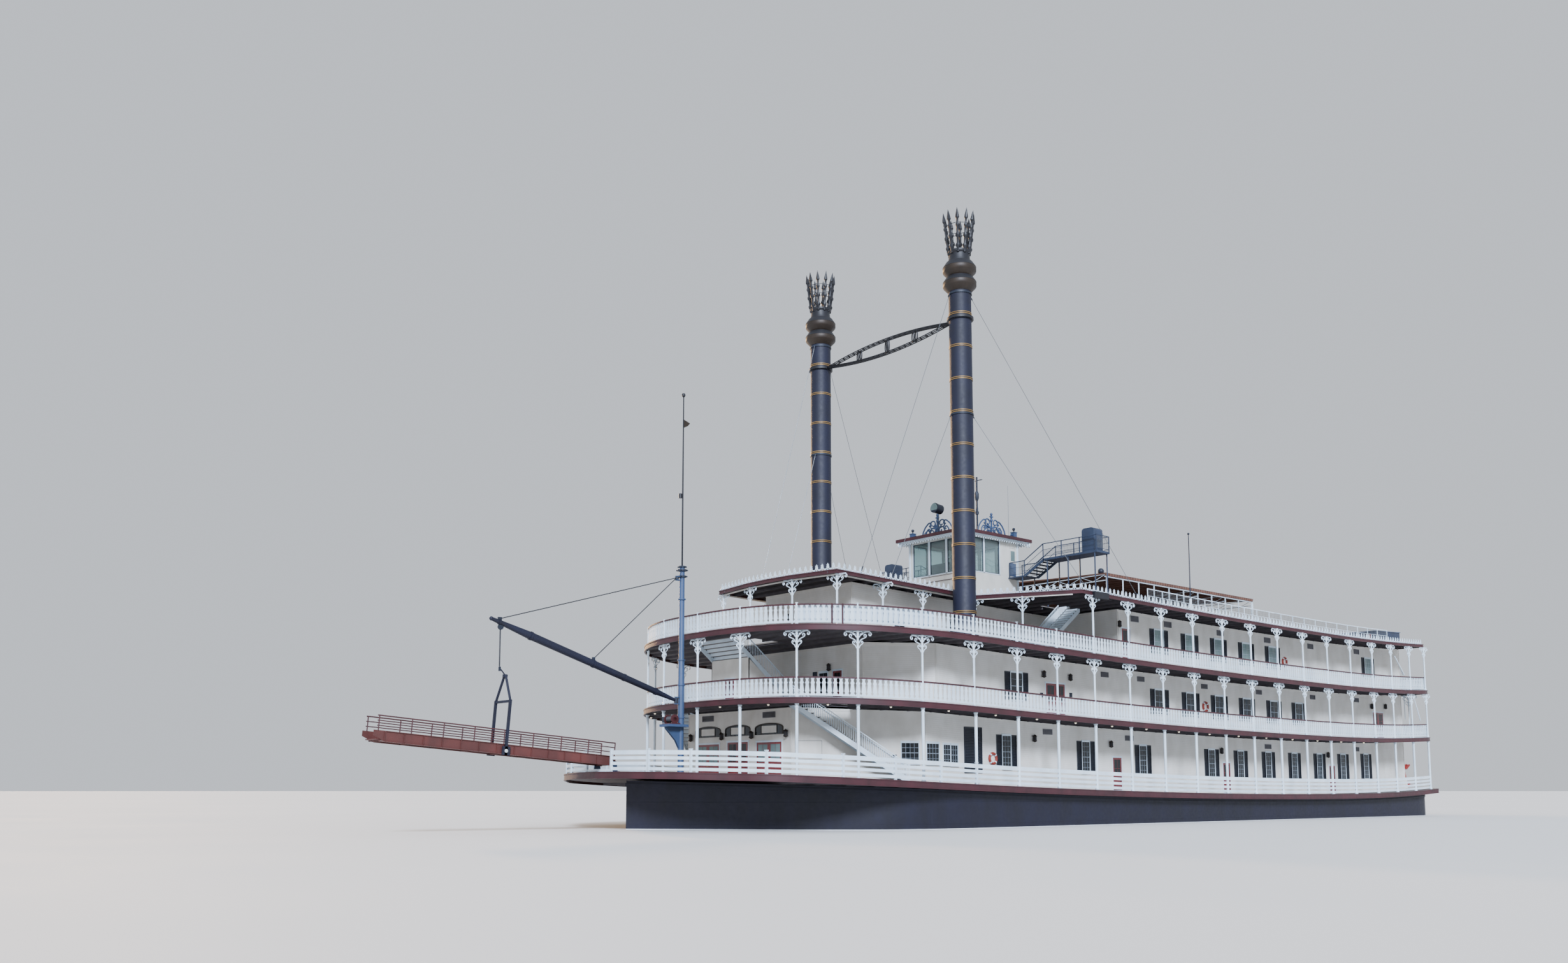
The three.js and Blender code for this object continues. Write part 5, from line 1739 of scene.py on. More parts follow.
    def leaves(self) -> None:
        """Trims the hinged leaves: each trim moves with its own leaf."""
        door = Door(self.LEAF, backed=False)
        side = self.SIDE_DOOR
        for wall, along, x, *names in (
                (front_wall(MAIN, MAIN_FRONT), 0, MAIN_FRONT, "front_door_port", "front_door_starboard"),
                (side_wall(BOILER), side, side, "port_side_door_aft", "port_side_door_fore"),
                (side_wall(BOILER, -1), -side, side, "starboard_side_door_fore", "starboard_side_door_aft")):
            raised = sheer(x + self.LEAF) - sheer(x)
            for name, hand in zip(names, (-1, 1)):
                kit, drawn = Kit(f"{name}_trim", name), Kit("leaf")
                door.leaf(drawn, handed(hand, 1.4, self.LEAF + 0.6), -hand)
                kit.hang(drawn, wall, raised, along).done()

    def build(self) -> None:
        """Fits out all the houses."""
        self.mouldings()
        self.main_front()
        self.main_cheeks()
        self.main_sides()
        self.boiler_front()
        self.boiler_sides()
        self.texas()
        self.sterns()
        self.leaves()


class Stairs:
    """The flights, with stringers, treads, handrails and balusters."""

    TREADS = 20
    BALUSTER_PITCH = 12
    CLOSED_TO = 375                 # how far along the central flight the space under it is closed

    def draw(self, flight: Flight, panelled: bool = False) -> Kit:
        """Draws one flight in place.

        Args:
            flight: The flight.
            panelled: Whether a solid panel fills its outer side.

        Returns:
            The flight's kit.
        """
        along, half, steps = flight.along, flight.width / 2, self.TREADS
        foot = flight.low.base(flight.start[0])
        rise = flight.high + sheer(flight.end[0]) - foot
        run = (Vector(flight.end) - Vector(flight.start)).length
        slope, going, riser = rise / run, run / steps, rise / steps
        frame = Matrix(((along.x, -along.y, 0, flight.start[0]), (along.y, along.x, 0, flight.start[1]),
                        (0, 0, 1, foot), (0, 0, 0, 1)))
        plain = Kit("plain")
        wood = plain.of(WHITE)
        for side in (-1, 1):
            stringer = [(4, 0.5), (26, 0.5), (run - 1, rise - slope * 26 - 8), (run - 1, rise + 2), (4, 24)]
            wood.plate(stringer, handed(side, half, half - 4), frame=UPENDED)
            rail = side * (half - 2)
            wood.bar((0, rail, 92), (run - 6, rail, rise + 86), 5, 4)
            for u in (2, run - 8):
                wood.box((u, u + 6), (rail - 3, rail + 3), (slope * u + 2, slope * u + 100))
            for k in range(1, int(run / self.BALUSTER_PITCH)):
                u = k * self.BALUSTER_PITCH
                wood.rod((u, rail, slope * u + 18), (u, rail, slope * u + 91), 1.3, 5)
        if panelled:
            panel = [(4, 20), (run - 6, rise - 4), (run - 6, rise + 60), (4, 84)]
            wood.plate(panel, (half - 3, half - 1), frame=UPENDED)
        for k in range(steps):
            u, w = k * going, riser * (k + 1) - 1
            plain.of(DECKING).box((u - 2, u + going + 2), (4 - half, half - 4), (w - 2.5, w))
            wood.box((u + 1, u + 2.5), (4 - half, half - 4), (max(0.5, w - riser - 1), w - 2.5))
        if flight.boxed:
            self.box_in(plain, half, slope)
        return Kit(flight.name).repeat(plain, [frame])

    def box_in(self, plain: Kit, half: float, slope: float) -> None:
        """Closes the space under the central flight, with a red door in its face.

        Args:
            plain: The flight's kit, drawn along X.
            half: Half the flight's width.
            slope: Its rise over its run.
        """
        end = self.CLOSED_TO
        top = slope * end - 20
        for side in (-1, 1):
            plain.of(PANEL).plate([(50, -8), (end, -8), (end, top), (50, 8)], handed(side, half, half - 4),
                                  frame=UPENDED)
        plain.of(PANEL).box((end - 4, end), (-half, half), (-8, top))
        face = Matrix(((0, 1, 0, end), (-1, 0, 0, 0), (0, 0, 1, 0), (0, 0, 0, 1)))
        plain.repeat(Door(84, 158, 4).kit(), [face])

    def build(self) -> None:
        """Builds every flight."""
        self.draw(MAIN_STAIR).mirror().done("port_main_stair", "starboard_main_stair")
        self.draw(BOILER_STAIR).done("boiler_stair")
        self.draw(TEXAS_STAIR, panelled=True).mirror().done("port_texas_stair", "starboard_texas_stair")


def dress(nodes: dict[str, bpy.types.Object], finish: Finish, *names: str) -> None:
    """Gives solids that stay in sight their finish.

    Args:
        nodes: All the solids by name.
        finish: The finish.
        *names: The solids that take it.
    """
    for name in names:
        for slot in nodes[name].material_slots:
            slot.material = Paintwork.of(finish)
        log.info("%s: %s", name, finish.name)


def curl(centre: Point, radius: float, start: float, sweep: float, end: float = 0.25,
         steps: int = 10) -> list[Point]:
    """Draws a spiral in X and Z that winds in.

    Args:
        centre: Its middle.
        radius: Its outer radius.
        start: The angle that it starts at.
        sweep: The angle that it turns through.
        end: The share of its radius that it winds in to.
        steps: The number of its points.

    Returns:
        The points.
    """
    points = []
    for t in np.linspace(0, 1, steps):
        reach, angle = radius * (1 - (1 - end) * t), start + sweep * t
        points.append((centre[0] + reach * math.cos(angle), 0, centre[1] + reach * math.sin(angle)))
    return points


def grille(form: Form, u: Span, w: Span, pitch: float, frame: Matrix, wire: float = 0.5) -> None:
    """Adds a wire mesh.

    Args:
        form: The form that it joins.
        u: Its limits along the frame's X.
        w: Its limits along the frame's Z.
        pitch: The spacing of the wires.
        frame: Where it is drawn.
        wire: Half a wire's thickness.
    """
    for k in range(1, int((u[1] - u[0]) / pitch) + 1):
        at = min(u[0] + k * pitch, u[1])
        form.box((at - wire, at + wire), (-wire, wire), w, frame)
    for k in range(1, int((w[1] - w[0]) / pitch) + 1):
        at = min(w[0] + k * pitch, w[1])
        form.box(u, (-wire, wire), (at - wire, at + wire), frame)


@dataclass
class Pilothouse:
    """The pilothouse: glass, frames, sawn trim under its eaves and scrollwork on its roof.

    Attributes:
        aft: X of its after wall.
        front: X of its front wall.
        half: Half its width.
        eave: The level of its eaves.
        roof_aft: X of its roof's after edge.
        roof_front: X of its roof's front edge.
        roof_half: Half its roof's width.
        sill: The level of the panes' feet.
        head: The level of their heads.
    """

    aft: float = 1440
    front: float = 1960
    half: float = 260
    eave: float = 2128
    roof_aft: float = 1338
    roof_front: float = 2050
    roof_half: float = 311
    sill: float = 1884
    head: float = 2112

    END_PANES = (138, (-158, 0, 158))       # the panes' width and places in an end wall
    SIDE_PANES = (148, (5, 170))            # and in a side wall
    SCALLOP_PITCH = 24
    SCALLOP = [(-12, 0), (-12, -9), (-9, -13), (-5, -14), (-3, -20), (0, -23), (3, -20), (5, -14), (9, -13),
               (12, -9), (12, 0)]
    DROP = [(0, 0), (3, 0), (3, -8), (6, -14), (6, -18), (2, -24), (4, -28), (0, -33)]
    HELM = (1820, 0, 1955)                  # the steering wheel's middle

    @property
    def middle(self) -> float:
        """X midway between the end walls."""
        return (self.aft + self.front) / 2

    def walls(self) -> list[tuple[Matrix, Sequence[float], float]]:
        """Gives each wall's frame at the keel's level, its panes' places and their half width."""
        (end, ends), (side, sides) = self.END_PANES, self.SIDE_PANES
        return [(standing(self.front, 0, 0, -math.pi / 2), ends, end / 2),
                (standing(self.aft, 0, 0, math.pi / 2), ends, end / 2),
                (standing(self.middle, self.half, 0), sides, side / 2),
                (standing(self.middle, -self.half, 0, math.pi), [-u for u in sides], side / 2)]

    def glazing(self, kit: Kit) -> None:
        """Fits the panes with their dark frames."""
        glass, dark, white = kit.of(TINTED), kit.of(DARK_STEEL), kit.of(WHITE)
        z = (self.sill, self.head)
        for frame, places, half in self.walls():
            for u in places:
                glass.box((u - half, u + half), (-5, -3), z, frame)
                for low in (self.sill, self.head - 3):
                    dark.box((u - half + 3, u + half - 3), (-7, 1), (low, low + 3), frame)
                for side in (-1, 1):
                    dark.box(handed(side, half, half - 3, u), (-7, 1), z, frame)
                    white.box(handed(side, half + 1, half + 8, u), (-0.5, 2), (z[0] - 6, z[1] + 6), frame)
                white.box((u - half - 8, u + half + 8), (-0.5, 2), (z[0] - 7, z[0] - 1), frame)

    def eaves(self, kit: Kit) -> None:
        """Hangs sawn scallops and corner drops under the eaves, over a white soffit and corner posts."""
        white, eave = kit.of(WHITE), self.eave
        loop, walls = ([(front, half), (aft, half), (aft, -half), (front, -half)] for front, aft, half in (
            (self.roof_front, self.roof_aft, self.roof_half), (self.front, self.aft, self.half)))
        white.plate(offset(loop, 4, True), (eave - 2, eave), [offset(walls, 1, True)])
        eye = [(u, w - 8) for u, w in circle(4, 8)]
        scallop = Form().plate(self.SCALLOP, (-1, 1), [eye], UPENDED)
        edge = offset(loop, 20, True)
        white.repeat(scallop, [standing(x, y, eave - 1, heading) for x, y, heading in stations(
            [*edge, edge[0]], self.SCALLOP_PITCH, self.SCALLOP_PITCH / 2)])
        corners = [(x + dx, y + dy) for x, y in edge
                   for dx, dy in ((0, 0), (12, 0), (-12, 0), (0, 12), (0, -12))]
        white.repeat(Form().turned(self.DROP, sides=8), [
            standing(x, y, eave) for x, y in corners
            if abs(y) <= self.roof_half - 8 and self.roof_aft + 8 <= x <= self.roof_front - 8])
        for x, y in walls:
            white.box((x - 6, x + 6), (y - 6, y + 6), (ROOF_LEVEL + 2 + sheer(x), eave - 2))

    @staticmethod
    def scrolls() -> Form:
        """Bends one scrollwork crest round its foot: two mirrored scrolls and a finial."""
        form = Form()
        lines = ([(140, 0, 0), (132, 0, 26), (112, 0, 56), (88, 0, 76), *curl((70, 64), 21, 0.6, 5.2)],
                 [(104, 0, 0), (102, 0, 20), (90, 0, 34), *curl((77, 28), 14, 0.6, 5.0, steps=8)],
                 curl((38, 66), 33, -1.2, 6.8, 0.3, 14), curl((30, 20), 19, 1.2, 5.6, 0.3),
                 [(8, 0, 30), (26, 0, 44), (50, 0, 40), (66, 0, 14), (84, 0, 0)])
        for side in (1, -1):
            for line in lines:
                form.tube([(side * u, v, w) for u, v, w in line], 5.2)
        form.bar((0, 0, 0), (0, 0, 118), 9, 9).box((-15, 15), (-4, 4), (104, 112))
        return form.ball((0, 0, 126), 10, 5).ball((0, 0, 84), 11, 5)

    def crests(self, kit: Kit) -> None:
        """Stands a crest on each side of the roof and a pedestal at each corner."""
        level = self.eave + 36
        kit.of(STEEL).repeat(self.scrolls(), [
            standing(self.front, 0, level, math.pi / 2), standing(self.aft, 0, level, math.pi / 2),
            standing(self.middle, self.half - 4, level), standing(self.middle, 4 - self.half, level)])
        pedestal = Form().box((-15, 15), (-15, 15), (0, 42)).box((-18, 18), (-18, 18), (42, 47))
        curve = [(15, 4), (30, 10), (34, 26), (24, 32), (18, 24)]
        pedestal.tube([(u, 0, w) for u, w in curve], 4).tube([(0, u, w) for u, w in curve], 4)
        ball = Form().rod((0, 0, 47), (0, 0, 60), 4).ball((0, 0, 68), 11, 6)
        corners = [standing(x, side * (self.half - 14), level - 12, turn) for x, side, turn in (
            (self.front - 14, 1, math.pi), (self.front - 14, -1, math.pi / 2),
            (self.aft + 14, 1, -math.pi / 2), (self.aft + 14, -1, 0.0))]
        kit.of(STEEL).repeat(pedestal, corners)
        kit.of(DARK_STEEL).repeat(ball, corners)

    def searchlight(self, kit: Kit) -> None:
        """Mounts the searchlight on its post."""
        dark, y = kit.of(DARK_STEEL), -20
        dark.rod((1930, y, 2160), (1930, y, 2312), 6)
        dark.rod((1905, y, 2338), (1962, y, 2343), 33, 20).rod((1962, y, 2343), (1970, y, 2344), 35, 20)
        kit.of(GREEN_PANE).rod((1970, y, 2344), (1972, y, 2344), 31, 20)

    def fittings(self, kit: Kit) -> None:
        """Mounts the searchlight, the horn mast, the whip aerial, the blank board and the wheel inside."""
        self.searchlight(kit)
        dark, mast = kit.of(DARK_STEEL), (1550, 0)
        dark.rod((*mast, 2170), (*mast, 2620), 7)
        dark.turned([(0, 2350), (12, 2352), (14, 2370), (9, 2376), (9, 2400), (0, 2402)], mast, 10)
        dark.turned([(0, 2450), (10, 2452), (15, 2470), (15, 2500), (10, 2516), (0, 2520)], mast, 10)
        dark.bar((1530, -34, 2600), (1530, 34, 2600), 5, 5)
        kit.of(GALVANISED).rod((1520, 255, 2145), (1520, 255, 2516), 2, 6, 1)
        kit.of(PANEL).box((self.front, self.front + 3), (-150, 150), (1836, 1868))
        for low in (1833, 1868):
            kit.of(OXBLOOD).box((self.front, self.front + 5), (-153, 153), (low, low + 3))
        dark.box((1850, 1900), (-120, 120), (1875, 1965))
        helm = Vector(self.HELM)
        kit.of(BRONZE).tube([helm + Vector((0, v, w)) for v, w in circle(60, 16)], 4, closed=True)
        for v, w in circle(74, 8)[:4]:
            kit.of(BRONZE).rod(helm - Vector((0, v, w)), helm + Vector((0, v, w)), 2.5, 6)

    def build(self) -> None:
        """Builds the pilothouse's pieces."""
        for make in (self.glazing, self.eaves, self.crests, self.fittings):
            kit = Kit(f"pilothouse_{make.__name__}")
            make(kit)
            kit.done()
        kit, y = Kit("pilothouse_door_trim", "pilothouse_door"), self.half
        kit.of(GREEN_PANE).box((1466, 1508), (y - 2, y + 0.8), (1990, 2060))
        kit.of(STEEL).box((1456, 1518), (y - 1, y + 1.4), (1884, 1976))
        kit.of(GOLD).ball((1513, y + 3, 1982), 2.2, 5)
        kit.done()


@dataclass
class BridgeWings:
    """The raised steering platforms out to each side, with steps, rails, mesh and a console.

    Attributes:
        x: The after and the forward edge.
        landing: The level beside the pilothouse.
        platform: The level of the outer part.
        ends: How far out the landing, the steps and the platform start, and where the platform ends.
    """

    x: Span = (1400, 1540)
    landing: float = 1870
    platform: float = 1962
    ends: tuple[float, float, float, float] = (262, 400, 560, 992)

    RAIL = 100
    TOE_BOARD = 14
    MESH_PITCH = 9
    CORNER = 20                     # radius of the console's round upper corners

    def level(self, y: float) -> float:
        """Gives the walkway's level at a distance out."""
        share = (y - self.ends[1]) / (self.ends[2] - self.ends[1])
        return self.landing + (self.platform - self.landing) * min(1.0, max(0.0, share))

    def walkway(self, kit: Kit) -> None:
        """Builds the landing, the steps, the platform and the posts under them."""
        (x0, x1), (near, step, inner, outer), steel = self.x, self.ends, kit.of(SLATE)
        steel.box((x0, x1), (near + 0.5, step), (self.landing - 8, self.landing))
        steel.box((x0, x1), (inner, outer), (self.platform - 14, self.platform))
        slope = [(step - 4, self.landing - 8), (step + 14, self.landing - 10),
                 (inner + 12, self.platform - 14), (inner, self.platform), (step, self.landing + 4)]
        for x in (x0, x1 - 4):
            steel.plate(slope, (x, x + 4), frame=SIDEWISE)
        for k in range(1, 6):
            y = step + (inner - step) * k / 6
            kit.of(DARK_STEEL).box((x0 + 4, x1 - 4), (y - 15, y + 15), (self.level(y) - 3, self.level(y)))
        for x in (x0 + 6, x1 - 6):
            for y in (step - 20, inner + 30, 760, outer - 20):
                steel.rod((x, y, ROOF_LEVEL + sheer(x)), (x, y, self.level(y) - 4), 4.5)

    def rails(self, kit: Kit) -> None:
        """Builds the rails and their mesh along both edges and across the end."""
        (x0, x1), (near, step, inner, outer), steel = self.x, self.ends, kit.of(SLATE)
        end, low, high, wire = outer - 3, self.landing, self.platform, kit.of(GALVANISED)
        line = [near + 10, step, inner, end]
        for x in (x0 + 3, x1 - 3):
            for lift, wide in ((self.RAIL, 5), (self.TOE_BOARD, 3), (60, 2.5)):
                for a, b in zip(line, line[1:]):
                    steel.bar((x, a, self.level(a) + lift), (x, b, self.level(b) + lift), wide, wide)
            for y in (*line[:3], 710, 856, end):
                steel.bar((x, y, self.level(y) - 2), (x, y, self.level(y) + self.RAIL + 2), 5, 5)
            frame = standing(x, 0, 0, math.pi / 2)
            grille(wire, (inner + 3, 858), (high + 16, high + 60), self.MESH_PITCH, frame)
            grille(wire, (near + 12, step - 2), (low + 16, low + 98), self.MESH_PITCH, frame)
        for lift, wide in ((self.RAIL, 5), (self.TOE_BOARD, 3)):
            steel.bar((x0 + 3, end, high + lift), (x1 - 3, end, high + lift), wide, wide)
        grille(wire, (x0 + 4, x1 - 4), (high + 16, high + 98), self.MESH_PITCH, standing(0, end, 0))

    def console(self, kit: Kit) -> None:
        """Stands the round-shouldered console on the platform, with a bent pipe beside it."""
        (x0, x1), outer, radius = self.x, self.ends[3], self.CORNER
        low, high, top = outer - 132, outer - 38, self.platform + 158
        hood = [(y + radius * math.cos(t), top - radius + radius * math.sin(t))
                for y, turn in ((low + radius, math.pi), (high - radius, math.pi / 2))
                for t in np.linspace(turn, turn - math.pi / 2, 5)]
        kit.of(SLATE).plate([(low, self.platform), *hood, (high, self.platform)], (x0 + 20, x1 - 24),
                            frame=SIDEWISE)
        kit.of(SLATE).tube([(1470, low - 4, 1975), (1470, low - 12, 1990), (1470, low - 12, 2030)], 5, 8)

    def build(self) -> None:
        """Builds both wings."""
        kit = Kit("bridge_wings")
        self.walkway(kit)
        self.rails(kit)
        self.console(kit)
        kit.mirror().done("port_bridge_wing", "starboard_bridge_wing")


@dataclass
class Stacks:
    """The twin stacks with their bands, beads and crowns, the truss between them and their stays.

    Attributes:
        x: The stacks' axis along the boat.
        y: Its distance from the centreline.
        radius: The pipe's radius.
        truss: The level of the truss between them.
    """

    x: float = 2436
    y: float = 655
    radius: float = 71
    truss: float = 3370

    COLLARS = (3530, 2750)          # the levels that the stays start from

    # Each stay's level on the stack, and the x and y of its foot
    STAYS = ((3530, 3150, 470), (3530, 1240, 1110), (2750, 2930, 500), (2750, 1700, 1060))

    # Each ring in the truss: its middle's y and its size
    RINGS = ((0, 45), (14, 45), (-274.48, 33), (-245.28, 33), (245.28, 33), (274.48, 33))
    SPEARS = 10
    HOOPS = (0.36, 0.66)            # their places along the spears
    SPEAR = [(0, 0), (9, 0), (9, 26), (14, 36), (14, 46), (8, 56), (8, 90), (14, 100), (14, 112), (8, 122),
             (8, 156), (12, 164), (12, 174), (7, 182), (7, 206), (13, 216), (11, 232), (5, 260), (0, 281)]

    def pipe(self, kit: Kit) -> None:
        """Turns the pipe, its skirt, its bands and its two bronze beads."""
        at, r, foot, navy = (self.x, self.y), self.radius, TEXAS.base(self.x), kit.of(NAVY)
        navy.turned([(0, foot + 0.3), (112, foot + 0.3), (108, 1290), (90, 1340), (r, 1385), (r, 3552),
                     (0, 3552)], at, 40)
        flute = ((110, foot + 4), (107, 1290), (89, 1340), (r - 3, 1386))
        for u, v in circle(1, 18):
            navy.tube([(self.x + reach * u, self.y + reach * v, z) for reach, z in flute], 7)
        for z in range(1500, 3600, 210):
            kit.of(BRONZE).collar(r + 1.6, (z, z + 11), at, 40)
            for low in (z - 1.5, z + 9.5):
                kit.of(GOLD).collar(r + 2.6, (low, low + 3), at, 40)
        for z in (3545, 3642):
            kit.of(BRONZE).turned([(0, z), (r + 2, z), (r + 9, z + 8), (103, z + 32), (106, z + 38),
                                   (106, z + 62), (102, z + 68), (84, z + 97), (0, z + 97)], at, 40)
            kit.of(SOOT).turned([(0, z + 62), (106.6, z + 62), (102.6, z + 69), (85, z + 96), (0, z + 96)],
                                at, 40)
        kit.of(SOOT).turned([(0, 3736), (78, 3736), (68, 3760), (66, 3790), (74, 3800), (74, 3812),
                             (60, 3813), (58, 3790), (0, 3789)], at, 32)

    def crown(self, kit: Kit) -> None:
        """Rings the top with beaded spears tied by two hoops."""
        feet, tips = ([Vector((self.x + u, self.y + v, z)) for u, v in circle(reach, self.SPEARS)]
                      for reach, z in ((66, 3790), (100, 4069)))
        spear = Form().turned(self.SPEAR, sides=8)
        kit.of(SOOT).repeat(spear, [rooted(foot, tip) for foot, tip in zip(feet, tips)])
        for share in self.HOOPS:
            hoop = [foot.lerp(tip, share) for foot, tip in zip(feet, tips)]
            kit.of(SOOT).tube(hoop, 2.2, closed=True)

    def spreader(self, kit: Kit) -> None:
        """Builds the lens of four bowed, slotted chords with rings between them."""
        form, reach = kit.of(SOOT), self.y - self.radius

        def bow(y: float, inset: float) -> float:
            """Gives the height over the truss's middle of a chord, or of what lies inside it.

            Args:
                y: The distance from the centreline.
                inset: How far inside the chord.

            Returns:
                The height.
            """
            return 52 * (1 - (y / reach) ** 2) - inset

        for side in (-9, 9):
            for hand in (1, -1):
                for inset in (0, 11):
                    form.tube([(self.x + side, y, self.truss + hand * max(2, bow(y, inset)))
                               for y in np.linspace(-reach, reach, 17)], 4.2, 4)
        for y in np.linspace(24 - reach, reach - 24, 24):
            for hand in (1, -1):
                z = self.truss + hand * bow(y, 5)
                form.bar((self.x - 9, y, z), (self.x + 9, y, z), 7, 11)
        for middle, size in self.RINGS:
            form.tube([(self.x + 0.35 * u, middle + 0.62 * u, self.truss + w) for u, w in circle(size, 20)],
                      4.6, closed=True)

    def stays(self, kit: Kit) -> None:
        """Strings the port stack's stays, with their collars, turnbuckles and deck eyes."""
        dark, wire = kit.of(DARK_STEEL), kit.of(GALVANISED)
        for z in self.COLLARS:
            dark.collar(self.radius + 5, (z - 5, z + 5), (self.x, self.y), 32)
        for top, foot_x, foot_y in self.STAYS:
            away = Vector((foot_x - self.x, foot_y - self.y)).normalized() * (self.radius + 3)
            start = Vector((self.x + away.x, self.y + away.y, top))
            end = Vector((foot_x, foot_y, ROOF_LEVEL + sheer(foot_x)))
            wire.rod(start, end, 1.6, 6)
            dark.rod(end.lerp(start, 0.01), end.lerp(start, 0.035), 3.6, 6)
            dark.rod(start, start.lerp(end, 0.012), 4, 6).rod(end, end + Vector((0, 0, 8)), 7)
        aft = self.x - self.radius - 9
        wire.rod((aft, self.y, self.COLLARS[1]), (aft, self.y, self.COLLARS[0]), 1.6, 6)

    def build(self) -> None:
        """Builds both stacks and what ties them."""
        kit, rigging = Kit("stacks"), Kit("stack_rigging")
        self.pipe(kit)
        self.crown(kit)
        kit.mirror().done("port_stack", "starboard_stack")
        self.stays(rigging)
        rigging.mirror()
        self.spreader(rigging)
        for side in (1, -1):
            rigging.of(SOOT).collar(84, (self.truss - 8, self.truss + 8), (self.x, side * self.y), 32)
        rigging.done("stack_rigging")


@dataclass
class Foredeck:
    """The jackmast with its winch, the boom and the landing stage that it carries.

    Attributes:
        mast: X of the jackmast.
        table: The level of the winch's table.
        head: The level of the mast's head.
        truck: The level of the jackstaff's truck.
        axis: X of the upright axis that the boom swings on.
        heel: The boom's level on that axis.
        tip: X and Z of the boom's tip.
        lift: The level that its wires start from.
        hinge: X and Z of the landing stage's hinge.
        length: The stage's length.
        half: Half its width.
        slope: How far it rises towards its end, in degrees.
    """

    mast: float = 4100
    table: float = 790
    head: float = 1690
    truck: float = 2700
    axis: float = 4135
    heel: float = 925
    tip: Span = (5296, 1293)
    lift: float = 1622
    hinge: Span = (4595, 566)
    length: float = 1330
    half: float = 72
    slope: float = 4.4

    FITTINGS = ((0.12, 20), (0.3, 20.5), (0.47, 22), (0.8, 23.5), (0.955, 14))     # bands on the boom
    HOOK = (5238, 1026)             # X and Z of the hook over the bridle
    BRIDLE = 5236
    PLANK = 18
    RAIL_BARS = ((112, 3.2), (88, 2.5), (64, 2.5))

    def jackmast(self) -> None:
        """Builds the pedestal, the mast, the jackstaff and the boom's fittings."""
        kit, x, table, head = Kit("jackmast"), self.mast, self.table, self.head
        steel, dark, tar = kit.of(STEEL), kit.of(DARK_STEEL), kit.of(SOOT)
        foot = MAIN.base(x)
        steel.turned([(0, foot), (34, foot), (34, foot + 8), (20, foot + 12), (17, foot + 60), (17, table),
                      (18, table), (18, 1150), (15, 1160), (15, head), (0, head)], (x, 0))
        steel.box((x - 22, x + 115), (-45, 45), (table - 14, table))
        for y in (-8, 2):
            steel.plate([(x, table - 14), (x + 108, table - 14), (x + 104, table - 26), (x + 40, table - 90),
                         (x + 12, table - 140), (x, table - 140)], (y, y + 6), frame=UPENDED)
        for z in (table + 36, 1010, 1152, 1500):
            steel.collar(22, (z, z + 7), (x, 0), 20)
        for z, reach in ((head - 60, 24), (head - 24, 27), (head - 4, 20)):
            dark.collar(reach, (z, z + 9), (x, 0), 16)
            for k in range(4):
                turn = math.pi / 4 + k * math.pi / 2
                dark.ball((x + (reach + 3) * math.cos(turn), (reach + 3) * math.sin(turn), z + 4), 5, 4)
        tar.rod((x, 0, head), (x, 0, self.truck - 14), 5.5, 10, 3.5)
        tar.turned([(0, self.truck - 16), (9, self.truck - 9), (11, self.truck), (9, self.truck + 8),
                    (0, self.truck + 13)], (x, 0), 12)
        lamp = head + 400
        tar.turned([(0, lamp), (10, lamp), (10, lamp + 26), (0, lamp + 30)], (x + 12, -6), 10)
        pennant = [(x - 3, 2555), (x - 48, 2540), (x - 30, 2520), (x - 3, 2506)]
        kit.of(BRONZE).plate(pennant, (-0.8, 0.8), frame=UPENDED)
        for z, reach in ((self.heel, 15), (self.lift, 7)):
            for plate in (z - reach - 6, z + reach + 1):
                steel.box((x, self.axis + 8), (-9, 9), (plate, plate + 5))
            steel.rod((self.axis, 0, z - reach - 3), (self.axis, 0, z + reach + 3), 5.5, 12)
        kit.done("jackmast")

    def winch(self) -> None:
        """Builds the red drum winch on the table."""
        kit, x, z = Kit("boom_winch"), self.mast + 66, self.table + 0.3
        red, hub = kit.of(RAIL_RED), z + 28
        red.box((x - 36, x + 36), (-38, 38), (z, z + 6))
        cheek = [(x - 18, z + 6), (x + 18, z + 6), (x + 8, z + 34), (x - 8, z + 34)]
        for y in (-36, 30):
            red.rod((x, y, hub), (x, y + 6, hub), 26, 24).plate(cheek, (y + 1, y + 5), frame=UPENDED)
        red.rod((x, -36, hub), (x, 36, hub), 12, 16)
        for k in range(14):
            turn = [(x + u, 4.1 * k - 27, hub + w) for u, w in circle(16, 16)]
            kit.of(TARRED).tube(turn, 2.2, 4, closed=True)
        kit.of(DARK_STEEL).box((x - 16, x + 16), (-66, -38), (z + 10, z + 44))
        kit.done("boom_winch")

    def along(self, share: float, drop: float = 0.0) -> Vector:
        """Gives a point of the boom's axis, or under it.

        Args:
            share: Its place between the swing axis and the tip.
            drop: How far it lies under the axis.

        Returns:
            The point.
        """
        start, end = Vector((self.axis, 0, self.heel)), Vector((self.tip[0], 0, self.tip[1]))
        return start.lerp(end, share) - Vector((0, 0, drop))

